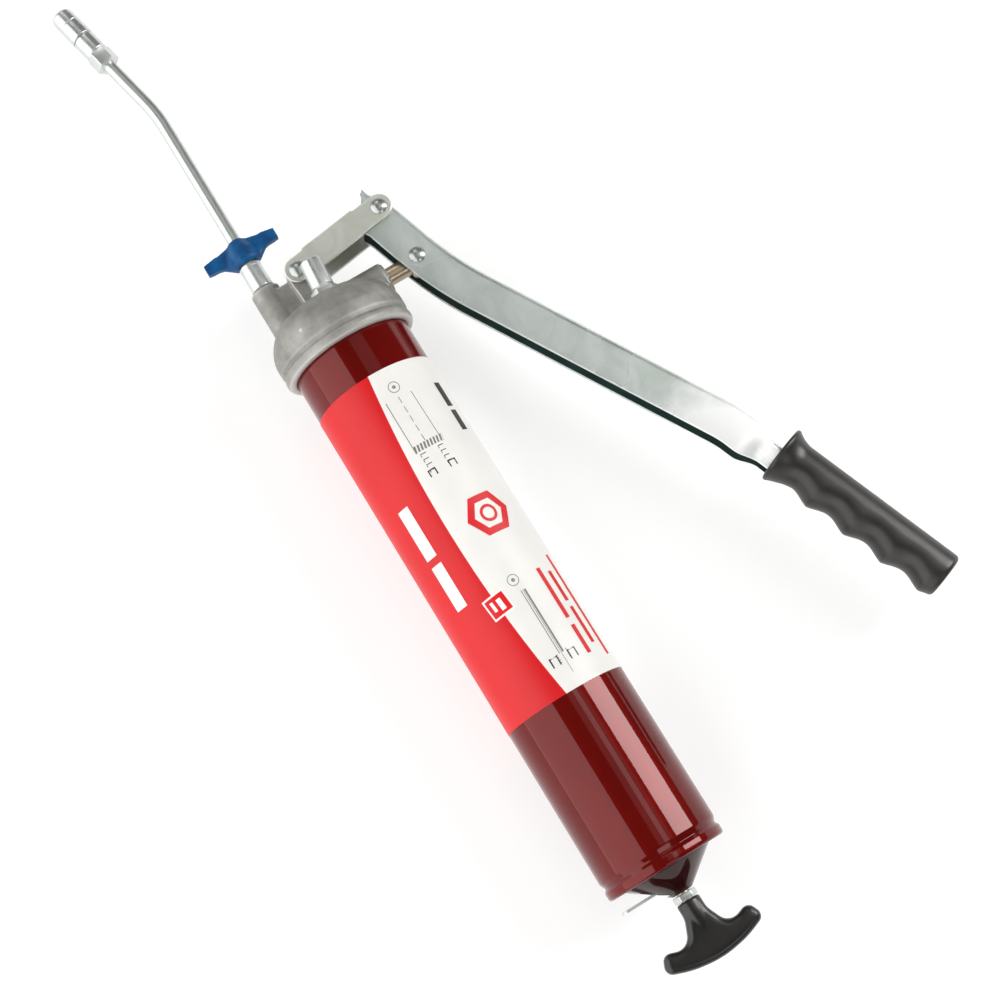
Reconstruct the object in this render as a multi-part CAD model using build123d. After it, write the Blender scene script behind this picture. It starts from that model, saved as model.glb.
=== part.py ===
from build123d import *
import math
import os

# Lever grease gun lying on its side. X runs along the barrel towards the head and the spout,
# the lever works in the horizontal plane on the -Y side, and Z is up. Millimetres.
# Stations along X are counted from the open rim of the head casting, and Y and Z from the
# barrel's axis; the finished pieces are moved together at the end.

# General fits
running = 0.05          # radial clearance of a shaft that turns or slides in its hole
side_gap = 0.3          # clearance between flat faces that pass each other
air = 0.5               # clearance between pieces that never touch

# Barrel
barrel_radius = 28.5
barrel_wall = 1.5
barrel_length = 265.2   # from the head's rim to the rolled rear end
thread_length = 10.0    # barrel inside the head
gasket_thickness = 1.0
groove_depth = 1.3
groove_width = 3.2
bead_width = 4.0
rear_lip_width = 7.5
rear_lip_radius = barrel_radius - rear_lip_width
label_front = -20.4
label_length = 162.6
label_thickness = 0.12

# Rear cap, follower rod and handle
cap_flange = 1.6
cap_cone_length = 12.0
cap_nose_radius = 4.6
cap_wall = 3.0
cap_nose_wall = 2.6
cap_seat = -barrel_length + barrel_wall
cap_end = -barrel_length - cap_cone_length
cap_cone_radius = rear_lip_radius - 0.2
cone_slope = (cap_cone_radius - cap_nose_radius) / cap_cone_length
rod_radius = 3.0
rod_front = -12.0
latch_thickness = 1.2
latch_half_width = 4.4
latch_foot = -6.0
latch_reach = 5.0       # past the rolled lip
latch_tip = rear_lip_radius + latch_reach
latch_set_back = 6.8    # behind the rolled end
latch_play = 0.35
latch_swing = 3.0       # room for the blade to lean in its slot, each way
latch_x = -barrel_length - latch_set_back
latch_spring_seat = latch_x + latch_thickness / 2
latch_pivot = (latch_x, latch_foot)
latch_spring_radius = rod_radius + 1.4
latch_spring_wire = 0.4
latch_spring_turns = 3
seat_washer_thickness = 0.8
thumb_pad = 1.2
nut_thickness = 3.0
nut_flats = 9.6
handle_shank_radius = 5.5
handle_shank_length = 12.0
handle_length = 28.0    # from the jam nut to the back of the crossbar
handle_half_span = 24.7
handle_bar_radius = 4.4
handle_tip_sweep = 4.2  # how far the tips lean towards the barrel
handle_web_length = 8.5     # flared web between shank and crossbar
handle_web_reach = 12.5
handle_web_share = 0.8      # its thickness against the crossbar's
handle_front = cap_end - air - nut_thickness
handle_back = handle_front - handle_length
rod_back = handle_front + air - handle_shank_length

# Follower
follower_place = -95.0
follower_gap = 0.3
follower_depth = 11.0
follower_plate = 1.2
follower_bush_radius = 6.0
follower_lip = 2.2
follower_disc = 2.5         # thickness of the moulded disc behind its front step
follower_step = 1.5
plate_inset = 6.0           # front plate's edge inside the cup's
spring_inset = 5.0          # mean line of the coils inside the barrel's bore
spring_radius = barrel_radius - barrel_wall - spring_inset
spring_wire = 1.1
spring_turns = 9
follower_radius = barrel_radius - barrel_wall - follower_gap
follower_back = follower_place - follower_depth
disc_back = follower_place - follower_step - follower_disc
tube_front = thread_length - gasket_thickness

# Head casting
skirt_wall = 4.0
skirt_radius = barrel_radius + skirt_wall
rim_round = 2.5
skirt_length = 12.5
head_length = 25.5
face_step = 7.3
head_face_radius = skirt_radius - face_step
head_floor = 13.5
head_bore_step = 3.0        # the floor's bore steps in from the gasket's seat
pump_x = 24.0
pump_boss_radius = 8.0
pump_boss_end = skirt_radius
pump_bore_radius = 4.25
pump_bore_top = 12.0
inlet_radius = 2.5
outlet_inset = 6.4
outlet_y = head_face_radius - outlet_inset
outlet_boss_radius = 6.9
outlet_boss_end = 49.0
passage_radius = 1.5
valve_seat_x = 31.0
valve_bore_radius = 3.5
ball_radius = 2.75
fitting_thread_radius = 4.3
fitting_thread_length = 10.0
web_half_width = 5.6
seal_width = 2.4
seal_depth = 1.7
seal_start = 5.0 - pump_boss_end
seat_play = 0.02            # between a ball and the edge of its seat
ball_seat = valve_seat_x + math.sqrt(ball_radius ** 2 - passage_radius ** 2) + seat_play
fitting_back = outlet_boss_end - fitting_thread_length

# Outlet fitting, wing nut and spout
fitting_radius = 5.3
fitting_length = 13.0
neck_length = 6.0
wing_nut_length = 14.0
wing_hub_radius = 7.4
wing_span = 36.4
wing_thickness = 4.2
wing_root = 9.2             # how far out the wing's shoulders start
wing_shoulder = 11.8
wing_tip_length = 5.0
tube_radius = 3.2
ferrule_wall = 0.7
ferrule_radius = tube_radius + ferrule_wall
ferrule_length = 3.0
neck_radius = ferrule_radius + 0.1
tube_wall = 1.2
bend_station = 149.3
bend_angle = 12.2
bend_radius = 70.0
fitting_face = outlet_boss_end + fitting_length
neck_end = fitting_face + neck_length
nut_back = fitting_face + side_gap
nut_front = nut_back + wing_nut_length
nut_ledge = neck_end + side_gap + ferrule_length + side_gap
tube_start = neck_end + side_gap

# Coupler on the end of the spout
coupler_set_back = 34.5     # from the bend's corner to the coupler's rear end
coupler_hex_flats = 10.8
coupler_hex_length = 8.0
coupler_body_radius = 5.45
coupler_body_length = 18.3
coupler_sleeve_gap = 0.5
coupler_length = 35.3
coupler_sleeve_radius = 5.6
coupler_neck_radius = 4.6
coupler_neck_length = 5.0
jaw_radius = 4.5
nipple_radius = 3.3
jaw_slot = 0.7
tube_grip = 9.0
coupler_ball_radius = 2.2
coupler_seal_length = 2.2
cavity_start = tube_grip + 3.0
sleeve_start = coupler_body_length + coupler_sleeve_gap
neck_tip = coupler_body_length + coupler_neck_length
seal_tip = neck_tip + coupler_seal_length
coupler_ball_seat = cavity_start + math.sqrt(coupler_ball_radius ** 2 - passage_radius ** 2) + seat_play

# Filler nipple on the front of the head
filler_y = -3.0
filler_inset = 7.6
filler_z = head_face_radius - filler_inset
filler_tilt = -5.3
filler_hex_flats = 11.6
filler_hex_length = 2.7
filler_radius = 5.35
filler_length = 17.5
filler_ball_radius = 2.2
filler_stud_length = 6.0
filler_stud_radius = 3.6
filler_seat = filler_length - 3.0
filler_ball_place = filler_seat - math.sqrt(filler_ball_radius ** 2 - passage_radius ** 2) - seat_play

# Toggle link, lever and plunger pins, at rest
crosshead_stand_off = 15.8  # lever to plunger, out from the pump boss
pivot = (45.5, 1.5)         # link to head
crosshead = (pump_x, -pump_boss_end - crosshead_stand_off)
knee = (crosshead[0] + 28.5, crosshead[1] + 3.3)    # link to lever
link_eye = 6.0
link_plate = 2.0
link_half_width = 10.0
link_web_start = 7.5
link_web_stop = 11.0        # short of the knee
link_web_bulge = 0.8
pin_radius = 2.5
rivet_head_radius = pin_radius + 1.25
rivet_head_height = 1.8
lever_wall = 1.8
lever_height = 18.0
slot_travel = 1.7           # each way along the barrel, in the plunger's eye
slot_play = 0.5             # each way along the plunger
eye_wall = 2.2
eye_half_width = 4.0
plunger_top = -2.0


def from_crosshead(along, out):
    """A point of the lever, set out from the crosshead pin's centre."""
    return crosshead[0] + along, crosshead[1] + out


# Lever's web line, from the nose to the handle end
nose_tip = from_crosshead(40.5, 5.5)
web_front = from_crosshead(26.5, -2.9)
web_bend = from_crosshead(-9.3, -14.0)
web_heel = from_crosshead(-136.0, -86.3)
web_end = from_crosshead(-158.0, -94.4)
web_line = [web_front, web_bend, web_heel, web_end]
bend_radii = (190.0, 60.0)
front_corner = from_crosshead(24.5, 14.9)
wall_clear = 20.0           # how far a hollowing cut runs past the walls' open edges

# Grip
grip_front = from_crosshead(-162.2, -91.0)
grip_angle = 20.3
grip_length = 90.0
grip_half_height = 10.6
grip_half_width = 10.2
flange_half_height = 13.5
flange_thickness = 1.6
flange_fade = 7.0
finger_pitch = 20.2
finger_first = 23.3
finger_depth = 1.3
tang_length = 72.0
tang_height = 11.0
tang_half_width = 5.6
tang_root = 8.0             # how far the tang reaches back into the channel

link_half_inner = link_half_width - link_plate
lever_half_width = link_half_inner - side_gap
lever_half_inner = lever_half_width - lever_wall
lug_half_width = link_half_inner - side_gap
link_length = math.dist(pivot, knee)
link_web_end = link_length - link_web_stop
link_angle = math.degrees(math.atan2(knee[1] - pivot[1], knee[0] - pivot[0]))


def turned(*points):
    """Solid of revolution about X from its outline as (station, radius) points."""
    return revolve(make_face(Polyline(*points, close=True)), Axis.X)


def rod(start, end, radius):
    return turned((start, 0), (start, radius), (end, radius), (end, 0))


def ring(start, end, inner, outer):
    return turned((start, inner), (start, outer), (end, outer), (end, inner))


def hex_bar(start, end, across_flats):
    section = RegularPolygon(across_flats / 2, 6, major_radius=False)
    return extrude(Plane.YZ.offset(start) * section, end - start)


def coil(start, end, mean_radius, wire, turns):
    """Open helical spring about X between two seats."""
    height = end - start - 2 * wire
    path = Helix(pitch=height / turns, height=height, radius=mean_radius)
    section = Plane(origin=path @ 0, z_dir=path % 0) * Circle(wire)
    return Pos(start + wire, 0, 0) * Rot(0, 90, 0) * sweep(section, path=path)


def plate(outline, low, high):
    """Flat piece in the lever's plane, from an outline to two heights."""
    return extrude(Pos(0, 0, low) * outline, high - low)


def upright_pin(place, radius, half_length):
    return Pos(*place, -half_length) * extrude(Circle(radius), 2 * half_length)


def rivet(place, radius, grip_half_length):
    """Pin along Z with a domed head on each end."""
    crown = rivet_head_height / 3
    dome = Polyline(
        (0, 0), (rivet_head_radius, 0), (rivet_head_radius, crown), (rivet_head_radius * 0.72, crown * 2.3),
        (rivet_head_radius * 0.36, rivet_head_height), (0, rivet_head_height), close=True
    )
    head = revolve(Plane.XZ * make_face(dome), Axis.Z)
    top = Pos(*place, grip_half_length) * head
    bottom = Pos(*place, -grip_half_length) * Rot(180, 0, 0) * head
    return upright_pin(place, radius, grip_half_length) + top + bottom


def barrel_tube():
    rear = -barrel_length
    groove = rear + bead_width
    outer, inner = barrel_radius, barrel_radius - barrel_wall
    body = turned(
        (tube_front, inner), (tube_front, outer), (groove + groove_width, outer),
        (groove + groove_width / 2, outer - groove_depth), (groove, outer - 0.1), (rear + 0.8, outer - 0.1),
        (rear, outer - 0.9), (rear, rear_lip_radius), (rear + barrel_wall, rear_lip_radius),
        (rear + barrel_wall, inner - groove_depth), (groove + groove_width, inner - groove_depth),
        (groove + groove_width + 1, inner)
    )
    return body


def barrel_label():
    rear = label_front - label_length
    return ring(rear, label_front, barrel_radius, barrel_radius + label_thickness)


def rear_cap():
    inner = barrel_radius - barrel_wall - groove_depth - 0.1
    cavity_end = cap_end + cap_nose_wall
    cavity_radius = cap_nose_radius + cone_slope * cap_nose_wall - cap_wall
    shell = turned(
        (cap_seat + cap_flange, cap_cone_radius - cap_wall), (cap_seat + cap_flange, inner),
        (cap_seat, inner), (cap_seat, cap_cone_radius), (-barrel_length, cap_cone_radius),
        (cap_end, cap_nose_radius), (cap_end, rod_radius + running), (cavity_end, rod_radius + running),
        (cavity_end, max(cavity_radius, rod_radius + 2)), (-barrel_length, cap_cone_radius - cap_wall)
    )
    slot_half_width = latch_half_width + air
    slot = Pos(latch_x, cap_cone_radius / 2 + rod_radius, 0) * Box(
        latch_thickness + 2 * latch_swing, cap_cone_radius, 2 * slot_half_width
    )
    return shell - slot


def rod_latch():
    blade = Pos(latch_x, (latch_foot + latch_tip) / 2, 0) * Box(
        latch_thickness, latch_tip - latch_foot, 2 * latch_half_width
    )
    thumb = Pos(latch_x, latch_tip, 0) * Box(latch_thickness * 2, thumb_pad, 2 * latch_half_width)
    return blade + thumb - rod(latch_x - 5, latch_x + 5, rod_radius + latch_play)


def latch_spring():
    back = latch_spring_seat + 0.1
    return coil(back, cap_seat, latch_spring_radius, latch_spring_wire, latch_spring_turns)


def latch_seat_washer():
    rim = cap_cone_radius - cap_wall - 0.1
    return ring(cap_seat, cap_seat + seat_washer_thickness, rod_radius + running, rim)


def follower_rod():
    return rod(rod_back, rod_front, rod_radius)


def rod_jam_nut():
    nut = hex_bar(handle_front, handle_front + nut_thickness, nut_flats)
    return nut - rod(rod_back, cap_end, rod_radius)


def tee_handle():
    """Round shank that flares into a bowed crossbar with leaning tips."""
    bar_x = handle_back + handle_bar_radius
    tip_x = bar_x + handle_tip_sweep
    reach = handle_half_span - handle_bar_radius
    path = ThreePointArc((tip_x, reach, 0), (bar_x, 0, 0), (tip_x, -reach, 0))
    bar = sweep(Plane(origin=path @ 0, z_dir=path % 0) * Circle(handle_bar_radius), path=path)
    for end in (path @ 0, path @ 1):
        bar += Pos(*end) * Sphere(handle_bar_radius)
    shank = rod(bar_x, handle_front, handle_shank_radius)
    half = [
        (bar_x, handle_web_reach), (bar_x + 0.6 * handle_web_length, handle_web_reach - 1.5),
        (bar_x + handle_web_length, handle_shank_radius)
    ]
    flare = make_face(Polyline(*half, *[(x, -y) for x, y in reversed(half)], close=True))
    half_web = handle_bar_radius * handle_web_share
    return bar + shank + plate(flare, -half_web, half_web) - rod(rod_back, handle_front, rod_radius)


def follower_cup():
    inner = follower_radius - follower_lip
    step = follower_place - follower_step
    return turned(
        (follower_place, follower_radius - 1), (step, follower_radius), (follower_back, follower_radius),
        (follower_back, inner), (disc_back, inner), (disc_back, follower_bush_radius),
        (step, follower_bush_radius), (step, inner - 2)
    )


def follower_bush():
    return ring(follower_back, follower_place, rod_radius + running, follower_bush_radius)


def follower_front_plate():
    back = follower_place - follower_step
    return ring(back, back + follower_plate, follower_bush_radius, follower_radius - plate_inset)


def follower_rear_plate():
    return ring(
        disc_back - follower_plate, disc_back, follower_bush_radius, follower_radius - follower_lip - 0.2
    )


def follower_spring():
    return coil(cap_seat + cap_flange, disc_back - follower_plate, spring_radius, spring_wire, spring_turns)


def along_pump(piece):
    """A turned piece stood on the pump's axis, with its stations along Y."""
    return Pos(pump_x, 0, 0) * Rot(0, 0, 90) * piece


def on_outlet(piece):
    return Pos(0, outlet_y, 0) * piece


def on_filler(piece):
    return Pos(head_length, filler_y, filler_z) * Rot(0, 0, filler_tilt) * piece


def head_casting():
    thread_bore = barrel_radius + running
    outline = [
        Line((0, thread_bore), (0, skirt_radius - rim_round)),
        ThreePointArc(
            (0, skirt_radius - rim_round), (rim_round * 0.3, skirt_radius - rim_round * 0.3),
            (rim_round, skirt_radius)
        ),
        Line((rim_round, skirt_radius), (skirt_length, skirt_radius)),
        ThreePointArc(
            (skirt_length, skirt_radius), (skirt_length + 7.2, skirt_radius - 2.6),
            (head_length - 0.6, head_face_radius)
        ),
        Polyline(
            (head_length - 0.6, head_face_radius), (head_length, head_face_radius - 0.8), (head_length, 0),
            (head_floor, 0), (head_floor, barrel_radius - 2 - head_bore_step),
            (thread_length, barrel_radius - head_bore_step),
            (thread_length, thread_bore), (0, thread_bore)
        ),
    ]
    body = revolve(make_face(outline), Axis.X)
    pump = along_pump(rod(-pump_boss_end, outlet_y, pump_boss_radius))
    pump -= along_pump(ring(-pump_boss_end, -pump_boss_end + 1, pump_boss_radius - 1, pump_boss_radius + 1))
    boss = on_outlet(rod(head_floor + 2, outlet_boss_end, outlet_boss_radius))
    boss_tip = ring(outlet_boss_end - 1.2, outlet_boss_end, outlet_boss_radius - 1.2, outlet_boss_radius + 1)
    web = make_face(
        Polyline(
            (pump_x, outlet_y), (pivot[0] - 1.2, outlet_y), (pivot[0] - 1.2, pivot[1] + 6),
            (pivot[0], pivot[1] - link_eye), (pump_x + 7, pivot[1] - 10), (pump_x, pivot[1] - 10), close=True
        )
    )
    lug = upright_pin(pivot, link_eye + 0.2, lug_half_width)
    lug_neck = make_face(
        Polyline(
            (pump_x + 6, pivot[1] + 5), (pivot[0], pivot[1] + link_eye), (pivot[0], pivot[1] - link_eye),
            (pump_x + 6, pivot[1] - 8), close=True
        )
    )
    body += pump + boss - on_outlet(boss_tip) + plate(web, -web_half_width, web_half_width)
    body += lug + plate(lug_neck, -lug_half_width, lug_half_width)

    body -= rod(-1, head_floor, barrel_radius - 2 - head_bore_step)
    body -= along_pump(rod(-pump_boss_end - 1, pump_bore_top, pump_bore_radius + running))
    body -= along_pump(rod(pump_bore_top, outlet_y, passage_radius))
    body -= Pos(0, pump_bore_top / 6, 0) * rod(head_floor - 1, pump_x, inlet_radius)
    body -= along_pump(
        ring(seal_start, seal_start + seal_width, pump_bore_radius, pump_bore_radius + seal_depth)
    )
    body -= on_outlet(rod(pump_x, valve_seat_x, passage_radius))
    body -= on_outlet(rod(valve_seat_x, outlet_boss_end - fitting_thread_length, valve_bore_radius))
    body -= on_outlet(rod(outlet_boss_end - fitting_thread_length, outlet_boss_end, fitting_thread_radius))
    body -= upright_pin(pivot, pin_radius + running, lug_half_width + 1)
    body -= on_filler(rod(0, filler_hex_length, filler_hex_flats * 0.6))
    body -= on_filler(rod(-filler_stud_length, 0.1, filler_stud_radius))
    body -= on_filler(rod(head_floor - head_length - 4, -filler_stud_length, passage_radius))
    return body


def head_gasket():
    return ring(tube_front, thread_length, barrel_radius - 2.8, barrel_radius)


def plunger_seal():
    return along_pump(ring(
        seal_start, seal_start + seal_width, pump_bore_radius + running, pump_bore_radius + seal_depth
    ))


def outlet_ball():
    return on_outlet(Pos(ball_seat, 0, 0) * Sphere(ball_radius))


def outlet_spring():
    return on_outlet(coil(ball_seat + 1.6, fitting_back, 2.4, 0.3, 4))


def outlet_fitting():
    body = rod(outlet_boss_end, fitting_face - 0.5, fitting_radius)
    body += turned(
        (fitting_face - 0.5, 0), (fitting_face - 0.5, fitting_radius), (fitting_face, fitting_radius - 0.5),
        (fitting_face, 0)
    )
    body += rod(fitting_back, outlet_boss_end, fitting_thread_radius)
    body += rod(fitting_face, neck_end, neck_radius)
    return on_outlet(body - rod(fitting_back - 1, neck_end + 1, passage_radius))


def wing_nut():
    small_end = tube_radius + 0.6
    hub = turned(
        (nut_back, 0), (nut_back, wing_hub_radius - 0.8), (nut_back + 1.2, wing_hub_radius),
        (nut_back + 6, wing_hub_radius), (nut_front - 0.6, small_end), (nut_front, small_end - 0.3),
        (nut_front, 0)
    )
    half_span = wing_span / 2
    wing = make_face(
        Polyline(
            (nut_back, wing_hub_radius - 1), (nut_back + 2.2, wing_root), (nut_back + 4.2, wing_shoulder),
            (nut_back + 4.7, half_span), (nut_back + 4.7 + wing_tip_length, half_span),
            (nut_front - 3, wing_shoulder - 0.8), (nut_front - 1.6, tube_radius + 1.2), (nut_front - 1.6, 0),
            (nut_back, 0), close=True
        )
    )
    half = wing_thickness / 2
    body = hub + plate(wing, -half, half) + plate(mirror(wing, Plane.XZ), -half, half)
    body -= rod(nut_back - 1, nut_ledge, neck_radius + running)
    return on_outlet(body - rod(nut_ledge - 1, nut_front + 1, tube_radius + running))


def spout_ferrule():
    return on_outlet(ring(tube_start, tube_start + ferrule_length, tube_radius, ferrule_radius))


def along_spout(piece):
    """A turned piece on the bent end of the spout, counted from the coupler's rear end."""
    return on_outlet(Pos(bend_station, 0, 0) * Rot(0, 0, bend_angle) * Pos(coupler_set_back, 0, 0) * piece)


def spout_tube():
    reach = coupler_set_back + tube_grip
    end = (
        bend_station + reach * math.cos(math.radians(bend_angle)), reach * math.sin(math.radians(bend_angle))
    )
    path = FilletPolyline((tube_start, 0), (bend_station, 0), end, radius=bend_radius)
    start = Plane(origin=path @ 0, z_dir=path % 0)
    wall = start * (Circle(tube_radius) - Circle(tube_radius - tube_wall))
    return on_outlet(sweep(wall, path=path))


def coupler_body():
    body = hex_bar(0, coupler_hex_length, coupler_hex_flats) & turned(
        (0, 0), (0, coupler_body_radius - 0.1), (0.9, coupler_hex_flats * 0.58),
        (coupler_hex_length, coupler_hex_flats), (coupler_hex_length, 0)
    )
    body += rod(coupler_hex_length, coupler_body_length, coupler_body_radius)
    body += rod(coupler_body_length, neck_tip, coupler_neck_radius)
    body -= rod(-1, tube_grip, tube_radius)
    body -= rod(tube_grip, cavity_start, passage_radius)
    return along_spout(body - rod(cavity_start, neck_tip + 1, nipple_radius))


def coupler_ball():
    return along_spout(Pos(coupler_ball_seat, 0, 0) * Sphere(coupler_ball_radius))


def coupler_spring():
    return along_spout(coil(coupler_ball_seat + 1.4, neck_tip, 2.3, 0.35, 4))


def coupler_seal():
    return along_spout(ring(neck_tip, seal_tip, passage_radius, jaw_radius - 0.1))


def coupler_sleeve():
    nose = coupler_length
    outer = coupler_sleeve_radius
    mouth = nipple_radius + 0.5
    return along_spout(turned(
        (sleeve_start, coupler_neck_radius), (sleeve_start, outer - 0.3), (sleeve_start + 0.4, outer),
        (nose - 8, outer), (nose - 7.7, outer - 0.25), (nose - 1.4, outer - 0.25),
        (nose, outer - 1.4), (nose, mouth), (nose - 1.5, jaw_radius + 0.05),
        (neck_tip, jaw_radius + 0.05), (neck_tip, coupler_neck_radius)
    ))


def coupler_jaws():
    """Four hardened jaws round the nipple's seat."""
    front = coupler_length - 1.7
    collet = ring(seal_tip, front, nipple_radius, jaw_radius)
    for turn in (45, 135):
        cut = Rot(turn, 0, 0) * Pos((seal_tip + front) / 2, 0, 0) * Box(front, jaw_slot, 4 * jaw_radius)
        collet -= cut
    return along_spout(collet)


def filler_nipple():
    bore = filler_ball_radius + 0.3
    body = hex_bar(0, filler_hex_length, filler_hex_flats) + rod(
        filler_hex_length, filler_length - 0.7, filler_radius
    )
    body += turned(
        (filler_length - 0.7, 0), (filler_length - 0.7, filler_radius), (filler_length, filler_radius - 0.7),
        (filler_length, 0)
    )
    body += rod(-filler_stud_length, 0, filler_stud_radius)
    body -= rod(-filler_stud_length - 1, filler_length + 1, passage_radius)
    return on_filler(body - rod(1.0, filler_seat, bore))


def filler_ball():
    return on_filler(Pos(filler_ball_place, 0, 0) * Sphere(filler_ball_radius))


def filler_spring():
    return on_filler(coil(1.0, filler_ball_place - 1.5, 1.95, 0.3, 5))


def on_link(piece):
    """A piece drawn from the head pivot, with the link along local X and its web on local +Y."""
    return Pos(*pivot, 0) * Rot(0, 0, link_angle) * piece


def toggle_link():
    outline = make_hull((Circle(link_eye) + Pos(link_length, 0) * Circle(link_eye)).edges())
    strap = plate(outline, -link_half_width, -link_half_inner)
    strap += plate(outline, link_half_inner, link_half_width)
    web_outer = link_eye + link_web_bulge
    web = Pos((link_web_start + link_web_end) / 2, web_outer - link_plate / 2, 0) * Box(
        link_web_end - link_web_start, link_plate, 2 * link_half_width
    )
    body = on_link(strap + web)
    for place in (pivot, knee):
        body -= upright_pin(place, pin_radius, link_half_width + 1)
    return body


def mitred(points, distance):
    """Corners of a polyline moved sideways, to the right of its direction when positive."""
    headings = [math.atan2(b[1] - a[1], b[0] - a[0]) for a, b in zip(points, points[1:])]
    headings = [headings[0], *headings, headings[-1]]
    moved = []
    for (x, y), before, after in zip(points, headings, headings[1:]):
        mean = (before + after) / 2
        reach = distance / math.cos((after - before) / 2)
        moved.append((x + reach * math.sin(mean), y - reach * math.cos(mean)))
    return moved


def lever_band(inset, height):
    """The lever's side outline between two lines that run beside the web, as a face."""
    near = mitred(web_line, inset)
    far = mitred(web_line, height)
    first, second = bend_radii
    near_edge = FilletPolyline(*near, radius=(first + inset, second - inset))
    far_edge = FilletPolyline(*far, radius=(first + height, second - height))
    return make_face([near_edge, far_edge, Line(near[0], far[0]), Line(near[-1], far[-1])])


def lever_nose():
    """Side outline of the pointed front end, in front of the web line's start."""
    open_edge = mitred(web_line, lever_height)[0]
    return make_face(Polyline(web_front, nose_tip, front_corner, open_edge, close=True))


def on_grip(piece):
    """A piece drawn along local X from the middle of the grip's front face."""
    return Pos(*grip_front, 0) * Rot(0, 0, 180 + grip_angle) * piece


def lever():
    side = lever_band(0, lever_height) + lever_nose()
    body = plate(side, -lever_half_width, lever_half_width)
    body -= plate(lever_band(lever_wall, lever_height + wall_clear), -lever_half_inner, lever_half_inner)
    channel_start = mitred(web_line, lever_wall)[0]
    hollow = make_face(
        Polyline(
            channel_start, (nose_tip[0] - 5, nose_tip[1] + 0.6), (nose_tip[0], nose_tip[1] + wall_clear),
            (pump_x, nose_tip[1] + wall_clear), close=True
        )
    )
    body -= plate(hollow, -lever_half_inner, lever_half_inner)
    tang = Pos((tang_length - tang_root) / 2, 0, 0) * Box(
        tang_length + tang_root, tang_height, 2 * tang_half_width
    )
    tang -= Pos(tang_length / 2, -lever_wall, 0) * Box(
        tang_length + wall_clear, tang_height, 2 * (tang_half_width - lever_wall)
    )
    body += on_grip(tang)
    body -= upright_pin(knee, pin_radius + running, lever_half_width + 1)
    body -= upright_pin(crosshead, pin_radius, lever_half_width + 1)
    return body


def finger_wave(station):
    return finger_depth * math.cos(math.tau * (station - finger_first) / finger_pitch)


def grip_section(station):
    """Height above and below the grip's axis, and half width, at a station."""
    fade = max(0.0, 1 - station / flange_fade) ** 2
    flare = (flange_half_height - grip_half_height) * fade
    wave = finger_wave(station) * (1 - fade)
    return grip_half_height + flare + wave, grip_half_height + flare, grip_half_width + flare


def grip():
    stations = [0, flange_thickness]
    step = finger_pitch / 6
    count = int((grip_length - flange_fade) / step)
    stations += [flange_fade + i * (grip_length - flange_fade) / count for i in range(count + 1)]
    sections = []
    for station in stations:
        inner, outer, half_width = grip_section(station)
        middle = (outer - inner) / 2
        sections.append(Plane.YZ.offset(station) * Pos(middle, 0) * Ellipse((inner + outer) / 2, half_width))
    body = loft(sections)
    pocket = Pos((tang_length + 0.5) / 2, 0, 0) * Box(tang_length + 0.5, tang_height, 2 * tang_half_width)
    return on_grip(body - pocket)


def plunger():
    rod_start = crosshead[1] + pin_radius + slot_play
    body = along_pump(rod(rod_start, plunger_top, pump_bore_radius))
    half_length = pin_radius + slot_travel
    half_height = pin_radius + slot_play
    eye = RectangleRounded(2 * (half_length + eye_wall), 2 * (half_height + eye_wall), 3)
    slot = RectangleRounded(2 * half_length, 2 * half_height, pin_radius - 0.1)
    body += Pos(*crosshead, 0) * plate(eye, -eye_half_width, eye_half_width)
    return body - Pos(*crosshead, 0) * plate(slot, -eye_half_width - 2, eye_half_width + 2)


def pivot_rivet():
    return rivet(pivot, pin_radius, link_half_width)


def knee_rivet():
    return rivet(knee, pin_radius, link_half_width)


def crosshead_pin():
    return rivet(crosshead, pin_radius, lever_half_width)


makers = [
    barrel_tube, barrel_label, rear_cap, latch_seat_washer, latch_spring, rod_latch,
    follower_rod, rod_jam_nut, tee_handle, follower_cup, follower_bush, follower_front_plate,
    follower_rear_plate, follower_spring, head_casting, head_gasket, plunger_seal, outlet_ball,
    outlet_spring, outlet_fitting, wing_nut, spout_ferrule, spout_tube, coupler_body, coupler_ball,
    coupler_spring, coupler_seal, coupler_sleeve, coupler_jaws, filler_nipple, filler_ball,
    filler_spring, toggle_link, pivot_rivet, knee_rivet, lever, crosshead_pin, grip, plunger,
]
pieces = {maker.__name__: maker() for maker in makers}

# The row's origin: below the middle of the whole gun, on the surface that it lies on.
box = Compound(children=[Compound(piece.solids()) for piece in pieces.values()]).bounding_box()
shift = (-(box.min.X + box.max.X) / 2, -(box.min.Y + box.max.Y) / 2, -box.min.Z)

os.makedirs("parts", exist_ok=True)
for name, piece in pieces.items():
    export_step(Pos(*shift) * piece, f"parts/{name}.step")
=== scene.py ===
from functools import partial
from math import asin, ceil, cos, exp, hypot, pi, radians, sin, sqrt, tan, tau
import bmesh
import bpy
from mathutils import Matrix, Vector


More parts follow.
